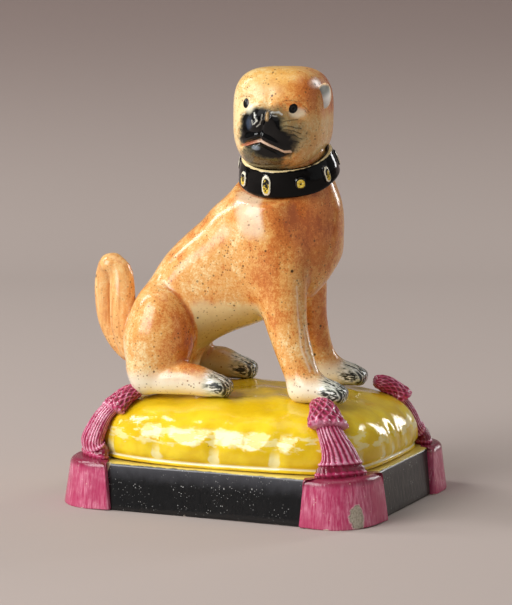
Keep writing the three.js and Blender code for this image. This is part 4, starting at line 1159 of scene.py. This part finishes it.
def head_rings():
    """Squared ball drawn on rings round the line of sight, closest together over the face, with the
    face's relief pushed out along that line. The first pole is the middle of the muzzle."""
    fall = np.linspace(0.004, 1, 200) ** 1.35 * (math.pi * 0.998)
    fall, turn = np.meshgrid(fall, full_turn(440), indexing="ij")
    heading = np.stack([np.sin(fall) * np.cos(turn), np.cos(fall), np.sin(fall) * np.sin(turn)], -1)
    tilt = np.array([0.03, 0, -0.28])
    heading = unit(heading + tilt * np.cos(fall[..., None] / 2) ** 2)
    half = HEAD_SIZE / 2
    reach = (np.abs(heading / half) ** HEAD_SQUARENESS).sum(-1) ** (-1 / HEAD_SQUARENESS)
    ball = heading * reach[..., None]
    low = fade(ball[..., 2], -4, -15)
    chin = CHIN_DROP * low * dot(ball[..., 0], half[1] - ball[..., 1], (0, 0), 15, 15)
    ball[..., 0] *= 1 - JAW_TAPER * low
    across = ball[..., 0] * math.cos(FACE_ROLL) - ball[..., 2] * math.sin(FACE_ROLL)
    above = ball[..., 0] * math.sin(FACE_ROLL) + ball[..., 2] * math.cos(FACE_ROLL)
    out = face_relief(across, above) * np.clip(heading[..., 1] / 0.35, 0, 1)
    x = HEAD_CENTRE[0] + ball[..., 0]
    y = HEAD_CENTRE[1] - ball[..., 1] - out
    z = HEAD_CENTRE[2] + ball[..., 2] - chin
    return np.stack([x, y, z], -1)


def spot(glaze, centre, width, height):
    """Distance from a centre in widths and heights, seen along y: 1 on an oval's edge."""
    u = (glaze.across - centre[0]) / width
    v = (glaze.up - centre[1]) / height
    return (u * u + v * v) ** 0.5


BLACK_INK = (5, 5, 6)
BROWN_INK = (88, 68, 52)
DARK_BROWN_INK = (30, 28, 24)
# Strokes on the face from one place to another: painted highlights on the nose, with their width,
# then brows and whiskers, with their width and strength
NOSE_HIGHLIGHTS = (
    ((-3.3, 1.6), (-2.8, 0.5), 0.45),
    ((-2.8, 0.5), (-1.9, -0.3), 0.5),
    ((-1.9, -0.3), (-2.9, -1.3), 0.35),
    ((-1.0, 1.3), (-0.7, 0.2), 0.25),
    ((-0.7, 0.2), (-1.2, -1.2), 0.25),
    ((-1.2, -1.2), (-2.1, -2.0), 0.25),
    ((-3.6, -0.4), (-3.3, -1.6), 0.25),
    ((1.8, 2.3), (3.1, 2.4), 0.5),
    ((3.1, 2.4), (4.1, 1.8), 0.4),
    ((2.2, 1.5), (3.0, 1.4), 0.35),
)
BROWS_AND_WHISKERS = (
    ((3.4, 5.3), (5.6, 5.7), 0.18, 0.45),
    ((5.6, 5.7), (7.6, 5.4), 0.16, 0.45),
    ((-9.4, 4.9), (-7.3, 5.5), 0.16, 0.45),
    ((8.5, 4.6), (10.2, 2.9), 0.2, 0.6),
    ((8.9, 3.5), (10.4, 2.2), 0.18, 0.5),
    ((4.9, 0.1), (8.0, 0.8), 0.22, 0.8),
    ((5.2, -1.0), (7.4, -1.2), 0.26, 0.85),
    ((7.4, -1.2), (9.0, -1.7), 0.24, 0.85),
    ((5.2, -2.0), (7.4, -2.2), 0.26, 0.85),
    ((7.4, -2.2), (9.2, -2.9), 0.24, 0.85),
    ((5.6, -3.1), (7.6, -3.4), 0.26, 0.85),
    ((7.6, -3.4), (9.4, -4.4), 0.24, 0.85),
    ((6.2, -4.5), (8.8, -5.4), 0.26, 0.85),
)

head = shell("head_glazed", uneven(in_base(head_rings()), wavelength=21, depth=0.1))
face_frame = Matrix.Rotation(-FACE_ROLL, 4, "Y") @ Matrix.Translation(-Vector(HEAD_CENTRE)) @ to_dog
painted = Glaze("painted_cream_glaze", face_frame, IOR=1.42)
across, depth, above = painted.across, painted.along, painted.up
facing = depth.fade(-4.0, -7.0)
wobble = painted.cloud(1.6, 2.0) - 0.5
smear = painted.cloud(1.3, 3.0, stretch=(0.5, 1.0, 1.6)) - 0.5
drawn_across = across + 0.5 * wobble
drawn_above = above + 0.5 * wobble


def blot(centre, width, height, full=0.3):
    """Soft oval: 1 within the share full of its size, fading to 0 at 1.3 of it."""
    return spot(painted, centre, width, height).fade(1.3, full)


def dab(centre, width, height, shaken, strength, edge, colour):
    """One dab on the face, its oval's edge shaken and fading over the two sizes of edge."""
    oval = spot(painted, centre, width, height) + shaken
    painted.coat(strength * oval.fade(*edge) * facing, colour)
    return oval


density = 0.22 + 0.5 * blot((9.5, 6.5), 7.0, 6.0) + 0.3 * blot((3.0, 10.5), 10.0, 4.5)
density = density + 0.2 * blot((4.0, -11.0), 8.0, 4.0) + 0.3 * depth.fade(-2.0, 6.0)
# Painted light on the side of the face towards the softbox: thinner orange there, and a cream dab on the
# forehead where the softbox is reflected
sponge_on(painted, density - 0.25 * across.fade(0.0, -9.0) * facing)
dab((-3.0, 8.0), 6.0, 3.2, 0.5 * wobble, 0.4, (1.3, 0.5), (252, 222, 164))
painted.coat(0.45 * above.fade(4.0, 12.0) * across.fade(9.0, 2.0), (226, 180, 84))
painted.coat(0.4 * across.fade(7.5, 10.5) * above.fade(4.0, 0.0), (226, 190, 130))
# Painted highlight: a pinkish-white patch beside the ear, high on the head
painted.coat(0.85 * blot((11.4, 11.0), 2.6, 2.0, 0.4) * depth.fade(-2.0, -4.0), (255, 238, 222))
speckle(painted)
nose = spot(painted, (-1.6, -0.6), 5.8, 3.3)
bridge = spot(painted, (-1.2, -3.2), 6.0, 4.4)
jowls = spot(painted, (0.2, -5.6), 7.5, 4.0)
mask = nose.least(jowls).least(bridge) + 0.2 * wobble + 0.26 * smear
dab((1.0, -3.2), 9.6, 7.6, 0.25 * wobble + 0.3 * smear, 0.7, (1.15, 0.75), (112, 108, 76))
painted.coat(0.85 * mask.fade(1.26, 1.0) * facing, (54, 54, 44))
painted.coat(mask.fade(1.06, 0.92) * facing, BLACK_INK)
stubble = painted.cloud(0.35, 2.0).fade(0.45, 0.6).mix((84, 82, 58), (34, 34, 26))
beard = dab((-1.2, -11.2), 7.2, 4.1, 0.6 * wobble + 0.4 * smear, 0.9, (1.2, 0.7), stubble)
dab((2.2, -8.6), 4.6, 1.5, 0.5 * wobble, 0.95, (1.2, 0.8), BLACK_INK)
# Painted highlight on the lower lip, then a painted reflection, blue-grey, on the left lobe of the nose
dab((-2.3, -7.8), 1.5, 0.75, 0.9 * wobble, 0.5, (1.2, 0.3), (170, 180, 192))
dab((-4.7, -1.3), 1.3, 1.9, 0.5 * wobble, 0.45, (1.2, 0.3), (84, 98, 120))
tan = stroke(across, above, (0.5, 1.8), (0.7, 0.4), 0.9, 0.4)
painted.coat(0.85 * tan * facing, (186, 152, 104))
# Painted highlights on the nose, where the softbox is reflected on its lobes
for start, end, width in NOSE_HIGHLIGHTS:
    drawn = stroke(drawn_across, drawn_above, start, end, width)
    painted.coat(0.75 * drawn * facing, (222, 222, 212))
for (eye_x, eye_z), (wide, tall) in zip(EYES, EYE_SIZES):
    dab((eye_x + 1.3, eye_z - 1.1), 2.0, 1.5, 0.5 * wobble, 0.65, (1.3, 0.4), (246, 238, 208))
    dab((eye_x, eye_z), wide, tall, 0.12 * wobble, 1.0, (1.12, 0.92), BLACK_INK)
    iris = abs(spot(painted, (eye_x + 0.1, eye_z), 0.5 * wide, 0.5 * tall) - 0.8)
    painted.coat(0.16 * iris.fade(0.32, 0.1) * facing, (84, 72, 56))
for start, end, width, strength in BROWS_AND_WHISKERS:
    drawn = stroke(drawn_across, drawn_above, start, end, width)
    painted.coat(strength * drawn * facing, BROWN_INK if strength < 0.8 else DARK_BROWN_INK)
mouth = stroke(across, above, MOUTH[0], MOUTH[1], 0.6, 0.12)
for start, end in zip(MOUTH[1:-1], MOUTH[2:]):
    mouth = mouth.most(stroke(across, above + 0.3 * wobble, start, end, 0.75))
painted.coat(mouth * facing, (across + 3.0 * wobble).fade(-4.5, -1.0).mix((222, 140, 108), (252, 222, 196)))
inky = mask.fade(1.1, 0.9).most(beard.fade(1.2, 0.7)) * facing
painted.paint(Roughness=(1 - inky) * (0.1 + 0.2 * painted.cloud(3.0)) + 0.05)
painted.relief(0.6 * painted.cloud(2.4, 1.0, 0.4) + 0.3 * painted.cloud(0.8, 1.0), 0.06)
fire(head, painted, "painted_cream_glaze", "head")


# Ears
# Two small buttoned leaves, pinched out of clay and pressed to the skull with the hollow forward.
# The hollows are painted grey at the top for shade and white below for a highlight, and their
# rims show the cream body.

EAR_LENGTH = 7.2
EAR_WIDTH = 4.6
EAR_THICKNESS = 3.0
EAR_LEAN = 14
EAR_TURN = 28
EAR_PLACES = {1: (12.5, -4.6, 6.0), -1: (-10.2, -1.5, 5.6)}


def ear_rings(side):
    """A leaf from its root to its tip: each ring is an oval, thin from front to back, and its front
    is dished by 1 - a^2 across and 1 - l^2 along, so that a rim stands round the hollow."""
    fall = np.linspace(0.03, 0.97, 60)[:, None] * math.pi
    turn = full_turn(72)[None]
    along = np.cos(fall)
    spread = np.sin(fall) ** 0.8
    across = spread * np.cos(turn)
    through = spread * np.sin(turn)
    leaf = 1 - 0.25 * along
    dish = 1.35 * fade(through, 0.0, 0.35) * (1 - np.abs(across / leaf) ** 3) * (1 - np.abs(along) ** 3)
    height = np.broadcast_to(along * EAR_LENGTH / 2, dish.shape)
    points = np.stack([across * leaf * EAR_WIDTH / 2, -through * EAR_THICKNESS / 2 + dish, height], -1)
    lean = Matrix.Rotation(math.radians(side * EAR_LEAN), 3, "Y")
    turned = lean @ Matrix.Rotation(math.radians(side * EAR_TURN), 3, "Z")
    points = points @ np.array(turned).T
    return points + HEAD_CENTRE + np.array(EAR_PLACES[side]), dish


ear_glaze = Glaze("ear_glaze", face_frame, Roughness=0.1, IOR=1.6)
across, above = ear_glaze.across, ear_glaze.up
sponge_on(ear_glaze, 0.4 * above.fade(1.0, 12.0))
speckle(ear_glaze)
ear_glaze.coat(above.fade(11.5, 9.0), (250, 230, 200))
# Painted shade and highlight in the hollow: grey towards the top, white below
thick = (above - 0.5 * across).fade(2.2, -0.4).mix((150, 156, 152), (248, 248, 244))
ear_glaze.coat(ear_glaze.marked("dish").fade(0.25, 0.8), thick)
ear_glaze.relief(ear_glaze.cloud(1.6, 2.0, 0.4), 0.1)
for name, side in (("ear_left", 1), ("ear_right", -1)):
    rings, dish = ear_rings(side)
    ear = shell(name + "_glazed", in_base(rings))
    mark(ear, dish=dish)
    fire(ear, ear_glaze, "painted_cream_glaze", name)


# Collar and studs
# A strap of clay round the neck, brushed glossy black with a cream line left along its top edge.
# Nine raised ovals stand on it, ringed in cream and dabbed with yellow.

COLLAR_TOP = 12.4
COLLAR_FOOT = 14.2
COLLAR_BORE = 11.0
STUDS = 9
FIRST_STUD = math.radians(-98)
STUD_YELLOW = (228, 190, 40)


def on_neck(points):
    """Points of the collar's own frame, its axis up z, set round the leaning neck."""
    matrix = np.array(collar_frame)
    return in_base(points @ matrix[:3, :3].T + matrix[:3, 3])


def collar_rings():
    """The strap's section, a rounded slanted oblong, turned about the neck's axis. Its edges wander
    by slow sines, as a strip cut by hand does."""
    half = COLLAR_HEIGHT / 2
    middle = (COLLAR_TOP + COLLAR_FOOT) / 2 + 0.3
    face = [(COLLAR_FOOT, -half), (middle, 0), (COLLAR_TOP, half)]
    corners = [(COLLAR_BORE, -half), *face, (COLLAR_BORE, half)]
    section = rounded(corners, [0.3, 0.9, 9.0, 0.8, 0.3], arc_steps=10, side_steps=8)
    turn = full_turn(240)[:, None]
    radius = section[None, :, 0] + 0.12 * np.sin(3 * turn + 1) + 0.06 * np.sin(7 * turn)
    height = section[None, :, 1] + 0.16 * np.sin(2 * turn) + 0.08 * np.sin(5 * turn + 2)
    return np.stack([radius * np.cos(turn), radius * np.sin(turn), height], -1)


collar = shell("collar_glazed", on_neck(collar_rings()), loop=True)
to_neck = collar_frame.inverted() @ to_dog
strap = Glaze("collar_black", to_neck, Roughness=0.05, IOR=1.5, Specular_IOR_Level=0.2)
edge = strap.cloud(1.8)
outward = (strap.across * strap.across + strap.along * strap.along) ** 0.5
top_line = (strap.up + 0.6 * (edge - 0.5)).fade(3.5, 3.68) * outward.fade(11.8, 12.0)
strap.colour = (2, 2, 3)
strap.coat(top_line, (236, 214, 160))
strap.relief(0.7 * strap.cloud(2.6, 2.0, 0.4) + 0.3 * edge, 0.14)
fire(collar, strap, "collar_black", "collar")

# The studs in sight, pressed on by hand: width and height, degrees off their even places, rise
STUD_SHAPES = {9: (2.8, 4.6), 1: (3.0, 6.2), 2: (3.2, 3.3), 3: (2.4, 4.8)}
STUD_TURNS = {8: -7.0, 9: 2.5, 1: -1.8, 2: -2.0, 3: -5.5}
STUD_RISES = {9: 0.1, 1: 0.2, 2: 0.2}
DISC_STUD = 2


def stud_rings(number):
    """A boss: a low dome over a squared oval, whose height is (1 - r^3)^(1/2) with a dent in the
    middle, wrapped on the strap's slanting face."""
    wide, tall = STUD_SHAPES.get(number, (2.8, 4.8))
    radius = np.linspace(1.0, 0.04, 24)[:, None]
    turn = full_turn(64)[None]
    low = 0.9 * np.sqrt(1 - radius ** 3) - 0.25 * np.exp(-(radius / 0.45) ** 2)
    u = radius * np.sign(np.cos(turn)) * np.abs(np.cos(turn)) ** 0.75 * wide / 2
    v = radius * np.sign(np.sin(turn)) * np.abs(np.sin(turn)) ** 0.75 * tall / 2
    base = (COLLAR_TOP + COLLAR_FOOT) / 2 - (COLLAR_FOOT - COLLAR_TOP) * v / COLLAR_HEIGHT
    front = np.stack([base + 0.15 + low, u, v], -1)
    buried = np.stack([base[:1] - 0.8, u[:1], v[:1]], -1)
    rings = np.concatenate([buried, front]) + (0, 0, STUD_RISES.get(number, 0))
    angle = FIRST_STUD + 2 * math.pi * (number - 1) / STUDS + math.radians(STUD_TURNS.get(number, 0))
    spin = np.array(Matrix.Rotation(angle, 3, "Z"))
    rim = np.broadcast_to(np.concatenate([radius[:1], radius]), rings.shape[:2])
    return on_neck(rings @ spin.T), rim, rings[..., 2] / tall


stud_glaze = Glaze("stud_yellow", Roughness=0.1, IOR=1.5)
patchy = stud_glaze.cloud(0.8, 2.0) - 0.5
ring = stud_glaze.marked("rim") + 0.25 * patchy
disc = stud_glaze.marked("disc")
dabbed = (1.6 * patchy - stud_glaze.marked("height") + 0.1 + disc).fade(0.0, 0.2) * ring.fade(0.72, 0.62)
pale = stud_glaze.cloud(0.45, 1.0).fade(0.45, 0.6)
stud_glaze.colour = BLACK_INK
stud_glaze.coat(ring.fade(0.62, 0.68) * ring.fade(0.9, 0.84) * (1 - disc), (238, 232, 208))
stud_glaze.coat(dabbed, (0.5 * pale).mix(STUD_YELLOW, (250, 236, 150)))
stud_glaze.coat(disc * (ring + 0.4 * patchy).fade(0.2, 0.12), (58, 44, 10))
stud_glaze.relief(stud_glaze.cloud(0.6, 1.0), 0.08)
for number in range(1, STUDS + 1):
    rings, rim, height = stud_rings(number)
    stud = shell(f"collar_stud_{number}_glazed", rings)
    mark(stud, rim=rim, height=height, disc=np.full(rim.shape, number == DISC_STUD))
    fire(stud, stud_glaze, "stud_yellow", f"collar_stud_{number}")


# Studio
# A sheet of warm grey paper, flat under the figure and swept up low behind it. A softbox stands high
# on the left, a rim lamp and a strip behind on either side, one overhead and a weak fill on the right.

AZIMUTH = math.radians(23.67)
ELEVATION = math.radians(7.44)
CAMERA_AWAY = 780.0
CAMERA_SHIFT = (-0.74, 53.69)
FOCAL_PIXELS = 2776.0
IMAGE_HEIGHT = 605
SENSOR = 36.0
LAMP_AIM = Vector((0, 0, 60))
LAMP_AWAY = 1200
SWEEP_RADIUS = 300
SWEEP_START = 500
SHEET_REACH = 8000.0
SHEET_HALF_WIDTH = 6000
WARM_WHITE = (0.86, 0.84, 0.82, 1)

right = Vector((math.cos(AZIMUTH), math.sin(AZIMUTH), 0))
level = Vector((math.sin(AZIMUTH), -math.cos(AZIMUTH), 0))
back = level * math.cos(ELEVATION) + Vector((0, 0, math.sin(ELEVATION)))
upward = back.cross(right)


def stand(name, data, place, heading):
    """Puts a lamp or the camera in the scene, at a place in millimetres."""
    thing = bpy.data.objects.new(name, data)
    thing.matrix_world = Matrix.Translation(place * TO_METRES) @ heading.to_4x4()
    bpy.context.scene.collection.objects.link(thing)
    return thing


camera_data = bpy.data.cameras.new("camera")
camera_data.sensor_width = SENSOR
camera_data.lens = FOCAL_PIXELS * SENSOR / IMAGE_HEIGHT
camera_data.clip_start = 0.05
eye = right * CAMERA_SHIFT[0] + upward * CAMERA_SHIFT[1] + back * CAMERA_AWAY
bpy.context.scene.camera = stand("camera", camera_data, eye, Matrix((right, upward, back)).transposed())


def backdrop():
    """Paper: flat under the figure, then swept up behind it on a circle, and drawn out sideways."""
    bend = np.linspace(0, math.pi / 3, 24)
    run = np.concatenate([[-SHEET_REACH, -900, -200, 0, 200], SWEEP_START + SWEEP_RADIUS * np.sin(bend)])
    rise = np.concatenate([np.zeros(5), SWEEP_RADIUS * (1 - np.cos(bend))])
    sides = np.linspace(-SHEET_HALF_WIDTH, SHEET_HALF_WIDTH, 15)
    along = run[:, None] * -np.array(level) + rise[:, None] * (0, 0, 1)
    points = sides[None, :, None] * np.array(right) + along[:, None]
    count, across = points.shape[:2]
    row, column = np.meshgrid(np.arange(count - 1), np.arange(across - 1), indexing="ij")
    first = (row * across + column).ravel()
    faces = np.stack([first, first + 1, first + across + 1, first + across], -1)
    return skin("backdrop", points.reshape(-1, 3), faces.tolist())


paper = Glaze("warm_grey_paper", Roughness=0.9, Specular_IOR_Level=0.1)
# Painted shade on the paper: darker towards the top, where less lamplight reaches it
paper.paint(Base_Color=paper.up.fade(-20.0, 140.0).mix((184, 171, 164), (136, 121, 116)))
sheet = backdrop()
sheet.data.materials.append(paper.material)


def lamp(name, towards, size, power):
    """Flat lamp in the direction (right, up, back) from the figure, facing it."""
    data = bpy.data.lights.new(name, "AREA")
    data.shape = "RECTANGLE"
    data.size, data.size_y = size[0] * TO_METRES, size[1] * TO_METRES
    data.energy = power
    direction = (right * towards[0] + upward * towards[1] + back * towards[2]).normalized()
    stand(name, data, LAMP_AIM + direction * LAMP_AWAY, direction.to_track_quat("Z", "Y").to_matrix())


lamp("softbox", (-0.69, 0.42, 0.58), (820, 820), 15)
lamp("rim", (-0.7, 0.7, -0.155), (190, 700), 5)
lamp("strip", (0.72, 0.3, -0.62), (160, 900), 5)
lamp("overhead", (0.1, 1.0, 0.1), (900, 900), 2)
lamp("fill", (0.95, 0.05, 0.3), (1400, 1200), 1.5)

world = bpy.data.worlds.new("studio")
world.use_nodes = True
background = world.node_tree.nodes["Background"]
background.inputs["Color"].default_value = WARM_WHITE
background.inputs["Strength"].default_value = 0.18
bpy.context.scene.world = world
bpy.context.scene.view_settings.view_transform = "Standard"
